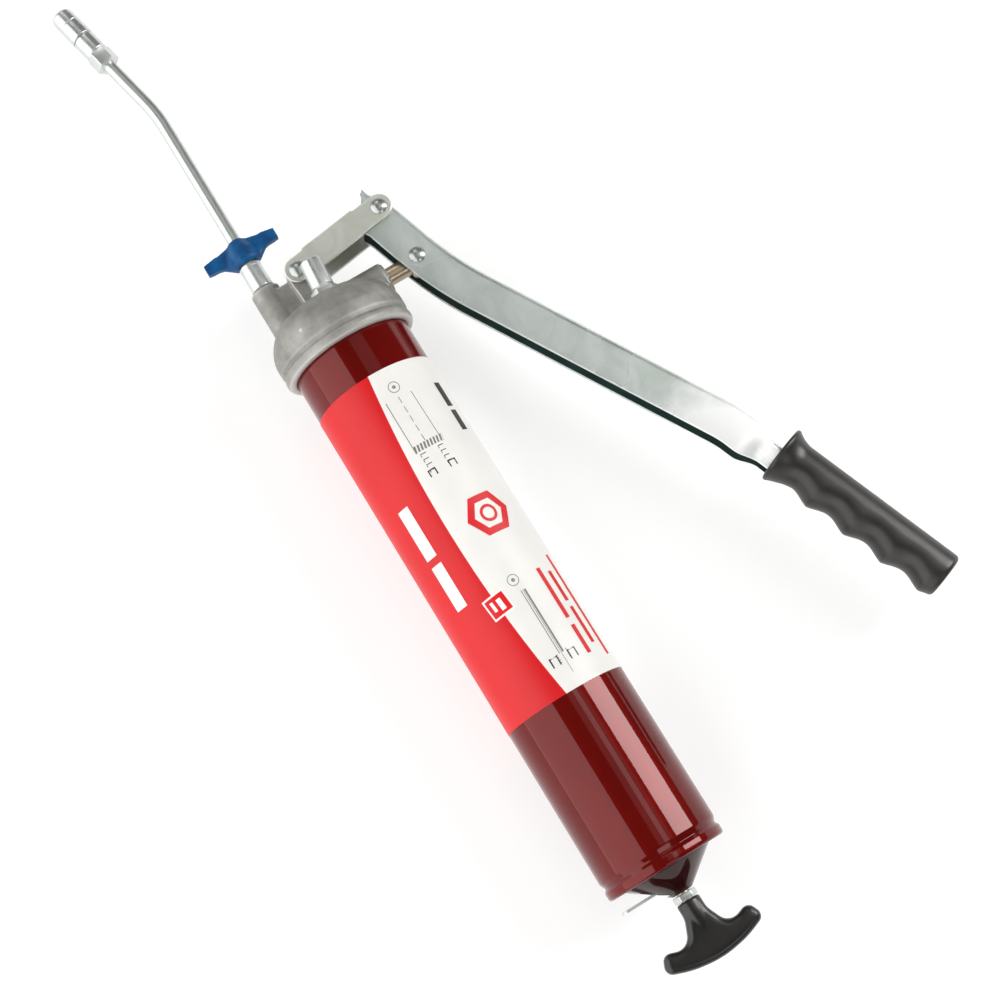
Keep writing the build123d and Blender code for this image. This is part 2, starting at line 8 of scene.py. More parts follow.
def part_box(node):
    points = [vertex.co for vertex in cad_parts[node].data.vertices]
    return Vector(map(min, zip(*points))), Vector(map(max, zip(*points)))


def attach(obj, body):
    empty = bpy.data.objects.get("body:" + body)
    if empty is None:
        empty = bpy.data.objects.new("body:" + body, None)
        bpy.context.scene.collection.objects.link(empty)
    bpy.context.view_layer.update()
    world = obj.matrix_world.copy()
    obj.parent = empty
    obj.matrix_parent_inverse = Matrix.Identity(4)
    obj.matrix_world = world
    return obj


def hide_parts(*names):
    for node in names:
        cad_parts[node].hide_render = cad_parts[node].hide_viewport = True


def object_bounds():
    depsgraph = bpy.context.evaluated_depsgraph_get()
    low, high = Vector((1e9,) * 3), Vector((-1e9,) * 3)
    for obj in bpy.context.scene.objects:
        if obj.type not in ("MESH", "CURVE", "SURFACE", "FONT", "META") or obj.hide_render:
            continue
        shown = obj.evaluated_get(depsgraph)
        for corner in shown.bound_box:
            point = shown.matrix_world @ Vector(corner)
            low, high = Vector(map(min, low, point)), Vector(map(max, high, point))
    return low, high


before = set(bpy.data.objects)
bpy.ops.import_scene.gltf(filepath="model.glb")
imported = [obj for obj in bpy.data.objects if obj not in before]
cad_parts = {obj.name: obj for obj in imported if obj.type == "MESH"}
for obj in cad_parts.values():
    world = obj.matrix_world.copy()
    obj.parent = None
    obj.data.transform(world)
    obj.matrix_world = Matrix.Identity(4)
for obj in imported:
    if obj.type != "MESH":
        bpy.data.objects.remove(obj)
cadLow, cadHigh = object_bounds()
scene = bpy.context.scene
mm = 0.001


# Shapes are drawn in millimetres. Stations run along the barrel from the head's open rim,
# y and z are counted from the barrel's axis.
def middle(node):
    low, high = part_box(node)
    return (low + high) / 2


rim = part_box("head_casting")[0].x
barrelMiddle = middle("barrel_tube")
gunPlace = Matrix.Translation((rim, barrelMiddle.y, barrelMiddle.z)) @ Matrix.Scale(mm, 4)


# a node's middle in the gun's own millimetres
def fromAxis(node):
    return gunPlace.inverted() @ middle(node)


outletY = fromAxis("outlet_fitting").y


def turnZ(degrees):
    return Matrix.Rotation(radians(degrees), 4, "Z")


# sRGB hex to the linear colour that a shader wants
def linear(hexColour):
    parts = [int(hexColour[i:i + 2], 16) / 255 for i in (1, 3, 5)]
    return [p / 12.92 if p <= 0.04045 else ((p + 0.055) / 1.055) ** 2.4 for p in parts] + [1.0]


# texture scale for a feature of this many millimetres
def perMetre(size):
    return 1 / (size * mm)


# one shader node with its settings, socket values, incoming links and colour stops; gives back its output
def addNode(tree, kind, values=None, links=None, stops=None, out=0, **settings):
    node = tree.nodes.new("ShaderNode" + kind)
    for key, value in settings.items():
        setattr(node, key, value)
    for key, value in (values or {}).items():
        node.inputs[key].default_value = value
    for key, source in (links or {}).items():
        tree.links.new(source, node.inputs[key])
    if stops:
        band = node.color_ramp.elements
        while len(band) < len(stops):
            band.new(0.5)
        for element, (position, colour) in zip(band, stops):
            element.position = position
            element.color = linear(colour)
    return node if out is None else node.outputs[out]


# a Principled material, given back with its own addNode, its shader and the object coordinates
def newMaterial(name, **values):
    material = bpy.data.materials.new(name)
    material.use_nodes = True
    tree = material.node_tree
    tree.nodes.clear()
    add = partial(addNode, tree)
    named = {key.replace("_", " "): value for key, value in values.items()}
    shader = add("BsdfPrincipled", named, out=None)
    add("OutputMaterial", links={0: shader.outputs["BSDF"]}, out=None)
    return material, add, shader, add("TexCoord", out="Object")


def wire(shader, sources):
    for socket, source in sources.items():
        shader.id_data.links.new(source, shader.inputs[socket])


enamelLook = {"patch": 40, "peel": 1.6, "peelDepth": 0.05, "rough": 0.32, "skinRough": 0.03, "skinIor": 1.36}


# Stoved enamel on pressed steel: a deep red under a clear skin that mirrors the studio in long sharp
# bands, with a faint orange peel.
def glossEnamel(name, colour, deep, flake):
    s = enamelLook
    material, add, shader, where = newMaterial(
        name, Metallic=flake, Roughness=s["rough"], Specular_IOR_Level=0.0, Coat_Weight=1.0,
        Coat_Roughness=s["skinRough"], Coat_IOR=s["skinIor"])
    tint = add("TexNoise", {"Scale": perMetre(s["patch"]), "Detail": 3}, {"Vector": where})
    hue = add("ValToRGB", links={"Fac": tint}, stops=[(0.35, deep), (0.65, colour)])
    peel = add("TexNoise", {"Scale": perMetre(s["peel"]), "Detail": 2}, {"Vector": where})
    skin = add("Bump", {"Strength": 0.05, "Distance": s["peelDepth"] * mm}, {"Height": peel})
    wire(shader, {"Base Color": hue, "Coat Normal": skin})
    return material


# the rubbed and faced colours light the edges and the rim band: partly worn metal, partly painted highlight
castLook = {
    "dark": "#82817C", "grey": "#908F8A", "light": "#9E9D99", "rubbedAndHighlit": "#D2D2CE", "facedAndHighlit": "#D9D9D5",
    "metallic": 0.55, "rough": 0.56, "rubbedRough": 0.46, "blotch": 9, "rubAndHighlightFrom": 0.504, "rubAndHighlightFull": 0.54,
    "rubAndHighlight": 0.7, "facedHighlitFrom": 1.5, "facedHighlitFull": 0.9, "facedHighlitShare": 0.6,
    "grain": 0.7, "lumps": 2.6, "pitDepth": 0.12,      # real grain is nearer 0.2 mm, drawn coarser to show
}


# Die-cast aluminium as it left the mould: dull mottled grey with a sandy skin. Its edges and a band at the
# rim where the barrel enters are lighter, partly as rubbed and faced-off metal and partly as painted
# highlight.
def castAluminium():
    s = castLook
    material, add, shader, where = newMaterial("cast_aluminium", Metallic=s["metallic"])
    blotch = add("TexNoise", {"Scale": perMetre(s["blotch"]), "Detail": 6, "Roughness": 0.6},
                 {"Vector": where})
    tone = add("ValToRGB", links={"Fac": blotch},
               stops=[(0.34, s["dark"]), (0.5, s["grey"]), (0.66, s["light"])])
    # lighter on sharp edges: partly rubbed metal, partly a painted highlight along the rim
    edge = add("NewGeometry", out="Pointiness")
    rubAndHighlight = add("MapRange", {"From Min": s["rubAndHighlightFrom"], "From Max": s["rubAndHighlightFull"], "To Max": s["rubAndHighlight"]},
              {"Value": edge})
    lightened = add("Mix", {7: linear(s["rubbedAndHighlit"])}, {0: rubAndHighlight, 6: tone}, out=2, data_type="RGBA")
    # a lighter band at the open rim: partly a faced-off edge, partly a painted highlight
    station = add("SeparateXYZ", links={0: where}, out="X")
    facedHighlitMask = add("MapRange",
                 {"From Min": rim + s["facedHighlitFrom"] * mm, "From Max": rim + s["facedHighlitFull"] * mm,
                  "To Max": s["facedHighlitShare"]},
                 {"Value": station})
    facedAndHighlit = add("Mix", {7: linear(s["facedAndHighlit"])}, {0: facedHighlitMask, 6: lightened}, out=2, data_type="RGBA")
    grain = add("TexNoise", {"Scale": perMetre(s["grain"]), "Detail": 5, "Roughness": 0.7}, {"Vector": where})
    lumps = add("TexNoise", {"Scale": perMetre(s["lumps"]), "Detail": 5, "Roughness": 0.65},
                {"Vector": where})
    dull = add("MapRange", {"To Min": s["rough"], "To Max": s["rubbedRough"]}, {"Value": rubAndHighlight})
    both = add("Math", links={0: grain, 1: lumps}, operation="ADD")
    pits = add("Bump", {"Strength": 0.45, "Distance": s["pitDepth"] * mm}, {"Height": both})
    wire(shader, {"Base Color": facedAndHighlit, "Roughness": dull, "Normal": pits})
    return material


zincLook = {"metallic": 0.6, "warp": 1.2, "shiny": 0.2, "hazy": 0.42, "leaf": 1.1, "leafDepth": 0.05}


# Zinc-plated and passivated pressed steel: pale and cloudy, glossy in some patches and hazy in others,
# with a leafy grain drawn coarser than life so that it shows.
def zincPlate(name, dark, light, cloudSize):
    s = zincLook
    material, add, shader, where = newMaterial(name, Metallic=s["metallic"])
    patch = add("TexNoise", {"Scale": perMetre(cloudSize * 2), "Detail": 2}, {"Vector": where})
    cloud = add("TexNoise",
                {"Scale": perMetre(cloudSize), "Detail": 5, "Roughness": 0.58, "Distortion": s["warp"]},
                {"Vector": where})
    tone = add("ValToRGB", links={"Fac": cloud}, stops=[(0.36, dark), (0.62, light)])
    gloss = add("MapRange", {"From Min": 0.3, "From Max": 0.7, "To Min": s["shiny"], "To Max": s["hazy"]},
                {"Value": patch})
    leaf = add("TexVoronoi", {"Scale": perMetre(s["leaf"])}, {"Vector": where})
    skin = add("Bump", {"Strength": 0.08, "Distance": s["leafDepth"] * mm}, {"Height": leaf})
    wire(shader, {"Base Color": tone, "Roughness": gloss, "Normal": skin})
    return material


leverLook = {"dark": "#BDC6C1", "light": "#CDD4D1", "cloud": 20, "paleEnd": "#F3F5F4", "smear": 14,
             "ragged": 35, "paleFrom": -88, "paleFull": -106}


# The lever's zinc: grey and cloudy at the head, nearly white towards the grip.
def leverPlate():
    s = leverLook
    material = zincPlate("zinc_plated_lever", s["dark"], s["light"], s["cloud"])
    add = partial(addNode, material.node_tree)
    shader = material.node_tree.nodes["Principled BSDF"]
    where = add("TexCoord", out="Object")
    station = add("SeparateXYZ", links={0: where}, out="X")
    smear = add("TexNoise", {"Scale": perMetre(s["smear"]), "Detail": 4}, {"Vector": where})
    ragged = add("Math", {1: s["ragged"] * mm, 2: -s["ragged"] / 2 * mm}, {0: smear},
                 operation="MULTIPLY_ADD")
    reach = add("Math", links={0: station, 1: ragged}, operation="ADD")
    # the zinc goes nearly white over the last stretch towards the grip, with a ragged border
    lightened = add("MapRange", {"From Min": rim + s["paleFrom"] * mm, "From Max": rim + s["paleFull"] * mm},
               {"Value": reach})
    base = shader.inputs["Base Color"].links[0].from_socket
    mixed = add("Mix", {7: linear(s["paleEnd"])}, {0: lightened, 6: base}, out=2, data_type="RGBA")
    wire(shader, {"Base Color": mixed})
    return material


metalLook = {"metallic": 0.82, "rings": 0.5, "ringDepth": 0.002, "film": 6}    # rings coarser, to show


# Bright turned or drawn metal: sharp soft-edged reflections, a thin uneven haze and faint tool rings.
def turnedMetal(name, colour, rough, axisScale=(1, 0.15, 0.15)):
    s = metalLook
    material, add, shader, where = newMaterial(name, Metallic=s["metallic"])
    shader.inputs["Base Color"].default_value = linear(colour)
    along = add("Mapping", {"Scale": axisScale}, {"Vector": where})
    rings = add("TexNoise", {"Scale": perMetre(s["rings"]), "Detail": 2}, {"Vector": along})
    film = add("TexNoise", {"Scale": perMetre(s["film"]), "Detail": 3}, {"Vector": where})
    haze = add("MapRange", {"From Min": 0.3, "From Max": 0.7, "To Min": rough * 0.9, "To Max": rough * 1.12},
               {"Value": film})
    lathe = add("Bump", {"Strength": 0.02, "Distance": s["ringDepth"] * mm}, {"Height": rings})
    wire(shader, {"Roughness": haze, "Normal": lathe})
    return material


coatingLook = {"dark": "#023F70", "light": "#02558A", "patch": 5, "grain": 0.9, "grainDepth": 0.06}


# Blue sealed coating over a die-cast nut: an even strong blue, only half glossy, with a fine sandy skin.
def blueCoating():
    s = coatingLook
    material, add, shader, where = newMaterial("blue_sealed_coating", Roughness=0.45, IOR=1.32)
    patch = add("TexNoise", {"Scale": perMetre(s["patch"]), "Detail": 4}, {"Vector": where})
    tone = add("ValToRGB", links={"Fac": patch}, stops=[(0.35, s["dark"]), (0.68, s["light"])])
    grain = add("TexNoise", {"Scale": perMetre(s["grain"]), "Detail": 3}, {"Vector": where})
    skin = add("Bump", {"Strength": 0.2, "Distance": s["grainDepth"] * mm}, {"Height": grain})
    wire(shader, {"Base Color": tone, "Normal": skin})
    return material


# Moulded plastic, moulded rubber and the painted shade inside the lever's channel: a nearly black skin with a
# fine mould texture and a slightly uneven gloss. Colour patches are 14 mm, and grainSize and depth are in mm.
def mouldedSkin(name, dark, light, rough, coat, grainSize, depth):
    material, add, shader, where = newMaterial(name, Coat_Weight=coat, Coat_Roughness=0.08, IOR=1.5)
    drift = add("TexNoise", {"Scale": perMetre(14), "Detail": 3}, {"Vector": where})
    tone = add("ValToRGB", links={"Fac": drift}, stops=[(0.35, dark), (0.7, light)])
    gloss = add("MapRange", {"To Min": rough * 0.85, "To Max": rough * 1.2}, {"Value": drift})
    grain = add("TexNoise", {"Scale": perMetre(grainSize), "Detail": 4, "Roughness": 0.6}, {"Vector": where})
    skin = add("Bump", {"Strength": 0.3, "Distance": depth * mm}, {"Height": grain})
    wire(shader, {"Base Color": tone, "Roughness": gloss, "Normal": skin})
    return material


# Flat screen-printed ink: one even colour, satin, with specks of 0.8 mm in its gloss.
def printedInk(name, colour, rough=0.42):
    material, add, shader, where = newMaterial(name, IOR=1.4)
    speck = add("TexNoise", {"Scale": perMetre(0.8), "Detail": 3}, {"Vector": where})
    gloss = add("MapRange", {"To Min": rough * 0.8, "To Max": rough * 1.3}, {"Value": speck})
    shader.inputs["Base Color"].default_value = linear(colour)
    wire(shader, {"Roughness": gloss})
    return material


labelPrint = {
    "front": -20.4, "length": 162.6, "thickness": 0.12, "fleck": 25,
    "red": "#D2121A", "redDark": "#CB1018", "white": "#ECEBE8", "whiteDark": "#E6E5E2",
    "arcMiddle": -97.0, "arcCrest": 6.6, "arcRise": 6.6, "arcReach": 86.0,   # red's edge, mm round the barrel
    "redTurn": 165.0,       # degrees of the barrel's turn that the red covers, on from its curved edge
}


# Printed vinyl film: satin, a red field with a gently curved edge against off-white, nearly flat in colour.
def printedFilm():
    s = labelPrint
    radius = barrelShape["radius"]
    material, add, shader, where = newMaterial("printed_vinyl_film", Roughness=0.42, IOR=1.4)
    axis = add("VectorMath", {1: (-rim, -barrelMiddle.y, -barrelMiddle.z)}, {0: where}, operation="ADD")
    along, y, z = add("SeparateXYZ", links={0: axis}, out=None).outputs
    angle = add("Math", links={0: y, 1: z}, operation="ARCTAN2")
    start, end = (s["arcMiddle"] - s["arcReach"]) * mm, (s["arcMiddle"] + s["arcReach"]) * mm
    station = add("MapRange", {"From Min": start, "From Max": end, "To Min": -1.0, "To Max": 1.0},
                  {"Value": along}, clamp=False)
    bow = add("Math", links={0: station, 1: station}, operation="MULTIPLY")
    edge = add("Math", {1: -s["arcRise"] / radius, 2: s["arcCrest"] / radius}, {0: bow},
               operation="MULTIPLY_ADD")
    past = add("Math", links={0: angle, 1: edge}, operation="GREATER_THAN")
    short = add("Math", {1: radians(s["redTurn"])}, {0: angle}, operation="LESS_THAN")
    field = add("Math", links={0: past, 1: short}, operation="MULTIPLY")
    fleck = add("TexNoise", {"Scale": perMetre(s["fleck"]), "Detail": 3}, {"Vector": where})
    paper, ink = [add("ValToRGB", links={"Fac": fleck}, stops=[(0.3, dark), (0.7, light)])
                  for dark, light in ((s["whiteDark"], s["white"]), (s["redDark"], s["red"]))]
    both = add("Mix", links={0: field, 6: paper, 7: ink}, out=2, data_type="RGBA")
    wire(shader, {"Base Color": both})
    return material


# corners given as (x, y, radius) become arcs; a corner with no radius stays sharp
def rounded(points, closed=False, steps=5):
    count = len(points)
    outline = []
    for i, (x, y, *rest) in enumerate(points):
        radius = rest[0] if rest else 0
        if radius <= 0 or (not closed and i in (0, count - 1)):
            outline.append((x, y))
            continue
        corner = Vector((x, y))
        before = Vector(points[i - 1][:2]) - corner
        after = Vector(points[(i + 1) % count][:2]) - corner
        half = before.angle(after) / 2
        if half > pi / 2 - 0.01:
            outline.append((x, y))
            continue
        setback = min(radius / tan(half), before.length * 0.49, after.length * 0.49)
        radius = setback * tan(half)
        before.normalize()
        after.normalize()
        centre = corner + (before + after).normalized() * (radius / sin(half))
        first, last = corner + before * setback - centre, corner + after * setback - centre
        for k in range(steps + 1):
            arm = first.lerp(last, k / steps).normalized() * radius
            outline.append(tuple(centre + arm))
    return outline


def circle(radius, sides, turn=0):
    angles = [tau * k / sides + radians(turn) for k in range(sides)]
    return [(radius * cos(a), radius * sin(a)) for a in angles]


inPlace = Matrix.Identity(4)      # for meshes that already are in metres where they belong


# puts a mesh or a bmesh into the scene in metres, smooth-shaded, riding on its body
def finishPiece(name, shape, material, body, nodes=(), place=gunPlace, sharp=40):
    mesh = meshFrom(shape) if isinstance(shape, bmesh.types.BMesh) else shape
    mesh.transform(place)
    mesh.update()
    mesh.validate()
    piece = bpy.data.objects.new(name, mesh)
    scene.collection.objects.link(piece)
    mesh.materials.clear()
    mesh.materials.append(material)
    for face in mesh.polygons:
        face.use_smooth = True
    mesh.set_sharp_from_angle(angle=radians(sharp))
    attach(piece, body)
    if nodes:
        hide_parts(*nodes)
    return piece


# mesh data from a bmesh, with its normals made consistent
def meshFrom(build):
    bmesh.ops.remove_doubles(build, verts=build.verts, dist=1e-5)
    bmesh.ops.recalc_face_normals(build, faces=build.faces)
    mesh = bpy.data.meshes.new("shape")
    build.to_mesh(mesh)
    build.free()
    return mesh


# faces between two rings of the same count
def bridge(build, one, two):
    count = len(one)
    for k in range(count):
        n = (k + 1) % count
        build.faces.new([one[k], one[n], two[n], two[k]])


# turns an outline of (station, radius) about the x axis; a closed outline makes a ring
def addTurned(build, outline, sides=96):
    rings = []
    for station, radius in outline:
        if radius < 1e-4:
            rings.append([build.verts.new((station, 0, 0))])
            continue
        turn = [tau * k / sides for k in range(sides)]
        rings.append([build.verts.new((station, radius * sin(a), radius * cos(a))) for a in turn])
    closed = outline[0][1] > 1e-4 and outline[-1][1] > 1e-4
    pairs = list(zip(rings, rings[1:])) + ([(rings[-1], rings[0])] if closed else [])
    for one, two in pairs:
        for k in range(sides):
            corners = [one[k % len(one)], one[(k + 1) % sides % len(one)],
                       two[(k + 1) % sides % len(two)], two[k % len(two)]]
            corners = list(dict.fromkeys(corners))
            if len(corners) > 2:
                build.faces.new(corners)


# a flat piece between two heights, its outline shrunk towards both faces as a rounded edge
def addSlab(build, outline, low, high, edge=0.3, steps=3, place=Matrix.Identity(4)):
    area = sum(a[0] * b[1] - b[0] * a[1] for a, b in zip(outline, outline[1:] + outline[:1]))
    sign = 1 if area > 0 else -1
    outward = []
    for i in range(len(outline)):
        ahead = Vector(outline[(i + 1) % len(outline)]) - Vector(outline[i - 1])
        outward.append(Vector((ahead.y, -ahead.x)).normalized() * sign)
    levels = []
    for k in range(steps + 1):
        bend = pi / 2 * k / steps
        levels.append((edge * (1 - sin(bend)), edge * (1 - cos(bend))))
    stack = [(low + up, inset) for inset, up in levels]
    stack += [(high - up, inset) for inset, up in reversed(levels)]
    rings = []
    for height, inset in stack:
        rings.append([build.verts.new(place @ Vector((p[0] - n.x * inset, p[1] - n.y * inset, height)))
                      for p, n in zip(outline, outward)])
    for one, two in zip(rings, rings[1:]):
        bridge(build, one, two)
    build.faces.new(rings[0])
    build.faces.new(rings[-1])


def hexOutline(flats):
    corners = [(x, y, flats * 0.04) for x, y in circle(flats / sqrt(3), 6)]
    return rounded(corners, closed=True, steps=3)


alongX = Matrix(((0, 0, 1, 0), (1, 0, 0, 0), (0, 1, 0, 0), (0, 0, 0, 1)))     # a slab's height to stations


# rings of points carried along a path in the plane; sectionAt gives (depth, z) points
def addSwept(build, path, sectionAt):
    rows = []
    for i, point in enumerate(path):
        ahead = Vector(path[min(i + 1, len(path) - 1)]) - Vector(path[max(i - 1, 0)])
        ahead.normalize()
        rows.append([build.verts.new((point[0] + ahead.y * d, point[1] - ahead.x * d, z))
                     for d, z in sectionAt(i)])
    for one, two in zip(rows, rows[1:]):
        bridge(build, one, two)
    return rows


# points at an even spacing along an open line
def walk(outline, step):
    points = [Vector(p) for p in outline]
    lengths = [(b - a).length for a, b in zip(points, points[1:])]
    total = sum(lengths)
    count = max(2, round(total / step))
    spaced = []
    for k in range(count + 1):
        left = total * k / count
        for i, length in enumerate(lengths):
            if left <= length or i == len(lengths) - 1:
                spaced.append(tuple(points[i].lerp(points[i + 1], min(1, left / length))))
                break
            left -= length
    return spaced


# the mesh after a list of modifiers given as (kind, settings)
def settled(mesh, modifiers):
    body = bpy.data.objects.new("settling", mesh)
    scene.collection.objects.link(body)
    for kind, settings in modifiers:
        modifier = body.modifiers.new(kind, kind)
        for key, value in settings.items():
            setattr(modifier, key, value)
    ready = body.evaluated_get(bpy.context.evaluated_depsgraph_get())
    result = bpy.data.meshes.new_from_object(ready)
    bpy.data.objects.remove(body)
    return result


# rounds every corner a little, as moulding or casting does; the mesh is in metres
def softened(mesh, voxel, passes):
    return settled(mesh, [("WELD", {"merge_threshold": 0.002 * mm}),
                          ("REMESH", {"mode": "VOXEL", "voxel_size": voxel * mm}),
                          ("SMOOTH", {"factor": 0.5, "iterations": passes})])


def remeshed(node, voxel, passes):
    return softened(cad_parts[node].data.copy(), voxel, passes)


# the mesh with another closed shape cut out of it
def carved(mesh, build):
    tool = bpy.data.objects.new("tool", meshFrom(build))
    scene.collection.objects.link(tool)
    result = settled(mesh, [("BOOLEAN", {"object": tool, "operation": "DIFFERENCE"})])
    bpy.data.objects.remove(tool)
    return result


barrelShape = {
    "radius": 28.5, "wall": 1.5, "front": 9.0, "rear": -265.2, "threadPitch": 1.5, "threadDepth": 0.25,
    "threadCrest": 0.4, "threadFlank": 0.35, "threadEnd": 0.5, "groove": -259.4, "grooveRadius": 27.25,
    "lipRadius": 21.0, "lipThick": 1.5,
}


def makeBarrel():
    s = barrelShape
    outer, inner, rear = s["radius"], s["radius"] - s["wall"], s["rear"]
    root, groove, under = outer - s["threadDepth"], s["groove"], s["grooveRadius"] - 2.0
    points = [(s["front"], inner, 0.3), (s["front"], root, 0.2)]
    station = s["front"] - 0.5
    while station > s["threadEnd"]:      # rolled thread that screws into the head
        crestEnd = station - s["threadCrest"]
        points += [(station, outer, 0.1), (crestEnd, outer, 0.1), (crestEnd - s["threadFlank"], root, 0.1),
                   (crestEnd - 2 * s["threadFlank"], root, 0.1)]
        station -= s["threadPitch"]
    points += [
        (s["threadEnd"] - 0.8, outer, 0.3), (groove + 2.6, outer, 2.4), (groove, s["grooveRadius"], 0.9),
        (groove - 1.7, outer - 0.05, 1.0), (rear, outer - 0.05, 1.5), (rear, s["lipRadius"], 0.6),
        (rear + s["lipThick"], s["lipRadius"], 0.4), (rear + s["lipThick"], under - 0.1, 0.8),
        (groove + 1.0, under, 0.8), (groove + 3.4, inner, 1.0)]
    build = bmesh.new()
    addTurned(build, rounded(points, closed=True), sides=192)
    finishPiece("barrel_shell", build, paints["enamel"], "barrel", ["barrel_tube"])


def makeLabel():
    s = labelPrint
    inner, rear = barrelShape["radius"], s["front"] - s["length"]
    outer = inner + s["thickness"]
    build = bmesh.new()
    addTurned(build, [(s["front"], inner), (s["front"], outer), (rear, outer), (rear, inner)], sides=192)
    finishPiece("label_film", build, printedFilm(), "barrel", ["barrel_label"])


# a printed stroke laid round the barrel, from (station, arc) points in mm
def addStroke(build, path, width, radius, closed=False, thickness=0.03):
    across = max(1, ceil(width / 0.8))
    line = [Vector(p) for p in path]
    count = len(line)
    rows = []
    for i in range(count):
        back = line[i - 1] if closed or i else line[i]
        ahead = line[(i + 1) % count] if closed or i < count - 1 else line[i]
        way = (ahead - back).normalized()
        side = Vector((-way.y, way.x))
        first = (line[i] - back).normalized() if (line[i] - back).length else way
        reach = width / 2 / max(0.5, abs(first.dot(way)))
        spots = [line[i] + side * reach * (2 * k / across - 1) for k in range(across + 1)]
        rows.append([(spot.x, spot.y / radius) for spot in spots])
    low, high = [[[build.verts.new((x, level * sin(a), level * cos(a))) for x, a in row]
                  for row in rows] for level in (radius, radius + thickness)]
    for i in range(count if closed else count - 1):
        j = (i + 1) % count
        for k in range(across):
            build.faces.new([low[i][k], low[j][k], low[j][k + 1], low[i][k + 1]])
            build.faces.new([high[i][k], high[i][k + 1], high[j][k + 1], high[j][k]])
        for k in (0, across):
            build.faces.new([low[i][k], low[j][k], high[j][k], high[i][k]])
    if not closed:
        for i in (0, count - 1):
            for k in range(across):
                build.faces.new([low[i][k], low[i][k + 1], high[i][k + 1], high[i][k]])


def ringPath(station, arc, radius, steps=28):
    return [(station + x, arc + y) for x, y in circle(radius, steps)]


def repeated(path, count, along, around=0):
    return [[(x + along * k, a + around * k) for x, a in path] for k in range(count)]


def hexPath(station, arc, radius, parts=6):
    nut = [(station + x, arc + y) for x, y in circle(radius, 6, 30)]
    return [(a[0] + (b[0] - a[0]) * t / parts, a[1] + (b[1] - a[1]) * t / parts)
            for a, b in zip(nut, nut[1:] + nut[:1]) for t in range(parts)]


# plain line diagrams, bars and a nut sign; each entry is a width, the strokes' (station, arc) points, whether
# they close, and how far they lie on top of the print below
labelMarks = {
    "diagram_grey": ("#7C7B79", [
        (0.35, [ringPath(-30.2, -6.0, 2.5), ringPath(-130.0, -6.0, 2.5)], True, 0),      # step marks
        (0.7, [ringPath(-30.2, -6.0, 0.5, 12), ringPath(-130.0, -6.0, 0.5, 12)], True, 0),
        (0.35, [[(-35, -11.9), (-59, -12.4)], [(-35, 0.9), (-61, 1.0)]], False, 0),      # barrel and follower
        (0.35, repeated([(-35, -5.4), (-38.2, -5.45)], 5, -4.9), False, 0),
        (0.9, repeated([(-58.0, -12.6), (-61.2, -12.0)], 9, 0, 1.6), False, 0),
        (0.35, [[(-58, -13.2), (-58, 1.0), (-61.2, 1.0), (-61.2, -13.2)]], True, 0),
        (0.9, [[(-135.6, -8.3), (-167, -8.3)]], False, 0),                               # slim rod
        (0.4, [[(-135.6, -6.5), (-167, -6.5)]], False, 0),
        (0.25, [[(-135.6, -7.4), (-176.5, -7.4)]], False, 0),
        (0.6, repeated([(-166.4, -10.2), (-167.2, -4.8)], 4, -1.2), False, 0)]),
    "print_red": ("#D9161D", [
        (3.2, [hexPath(-99, -13, 9.0)], True, 0),
        (1.4, [ringPath(-99, -13, 3.4)], True, 0),
        (2.3, [[(start, arc), (end, arc)] for start, end, arc in (
            (-125.5, -176, -31.2), (-133, -148, -25.3), (-151, -169, -25.3), (-130, -155, -19.6),
            (-158.5, -172.5, -19.6))], False, 0),
        (9.2, [[(-131.8, 5.4), (-140.4, 4.6)]], False, 0.035)]),
    "print_white": ("#F4F3F1", [
        (6.2, [[(-78, 20), (-103, 20)], [(-106.5, 20), (-128.5, 20)]], False, 0),
        (10.6, [[(-131.0, 5.5), (-141.2, 4.5)]], False, 0),
        (1.4, [[(-133.6, 7.4), (-138.2, 7.0)]], False, 0.07),
        (2.2, [[(-133.6, 4.0), (-139.0, 3.5)]], False, 0.07)]),
    "print_black": ("#2B2A2A", [
        (0.4, repeated([(-62.6, -11.7), (-62.6, -9.1), (-63.9, -9.1)], 4, -2.6), False, 0),
        (0.4, repeated([(-62.6, -2.9), (-62.6, -0.3), (-63.9, -0.3)], 4, -2.6), False, 0),
        (0.6, repeated([(-73.6, -12.6), (-70.6, -12.6), (-70.6, -9.4), (-73.6, -9.4)], 2, 0, 10), False, 0),
        (0.6, repeated([(-171.5, -13.6), (-167.3, -13.6), (-167.3, -10.2), (-171.5, -10.2)], 2, 0, 9),
         False, 0),
        (4.2, [[(-34.5, -28.6), (-47, -28.6)], [(-49, -28.6), (-59.5, -28.6)]], False, 0)]),
}


def makePrint():
    level = barrelShape["radius"] + labelPrint["thickness"] + 0.01
    for name, (colour, marks) in labelMarks.items():
        build = bmesh.new()
        for width, paths, closed, lift in marks:
            for path in paths:
                addStroke(build, path, width, level + lift, closed)
        finishPiece(name, build, printedInk(name + "_ink", colour), "barrel")


capShape = {"rear": -277.2, "coneRadius": 20.8, "noseRadius": 4.6, "bore": 3.05, "wall": 3.0, "flange": 1.6,
            "flangeRadius": 25.6, "noseWall": 2.6}
latchShape = {"station": -272.0, "thickness": 1.2, "low": -6.0, "high": 26.6, "halfWidth": 4.4, "bore": 3.35,
              "slot": (7.2, 20.8, 9.8)}


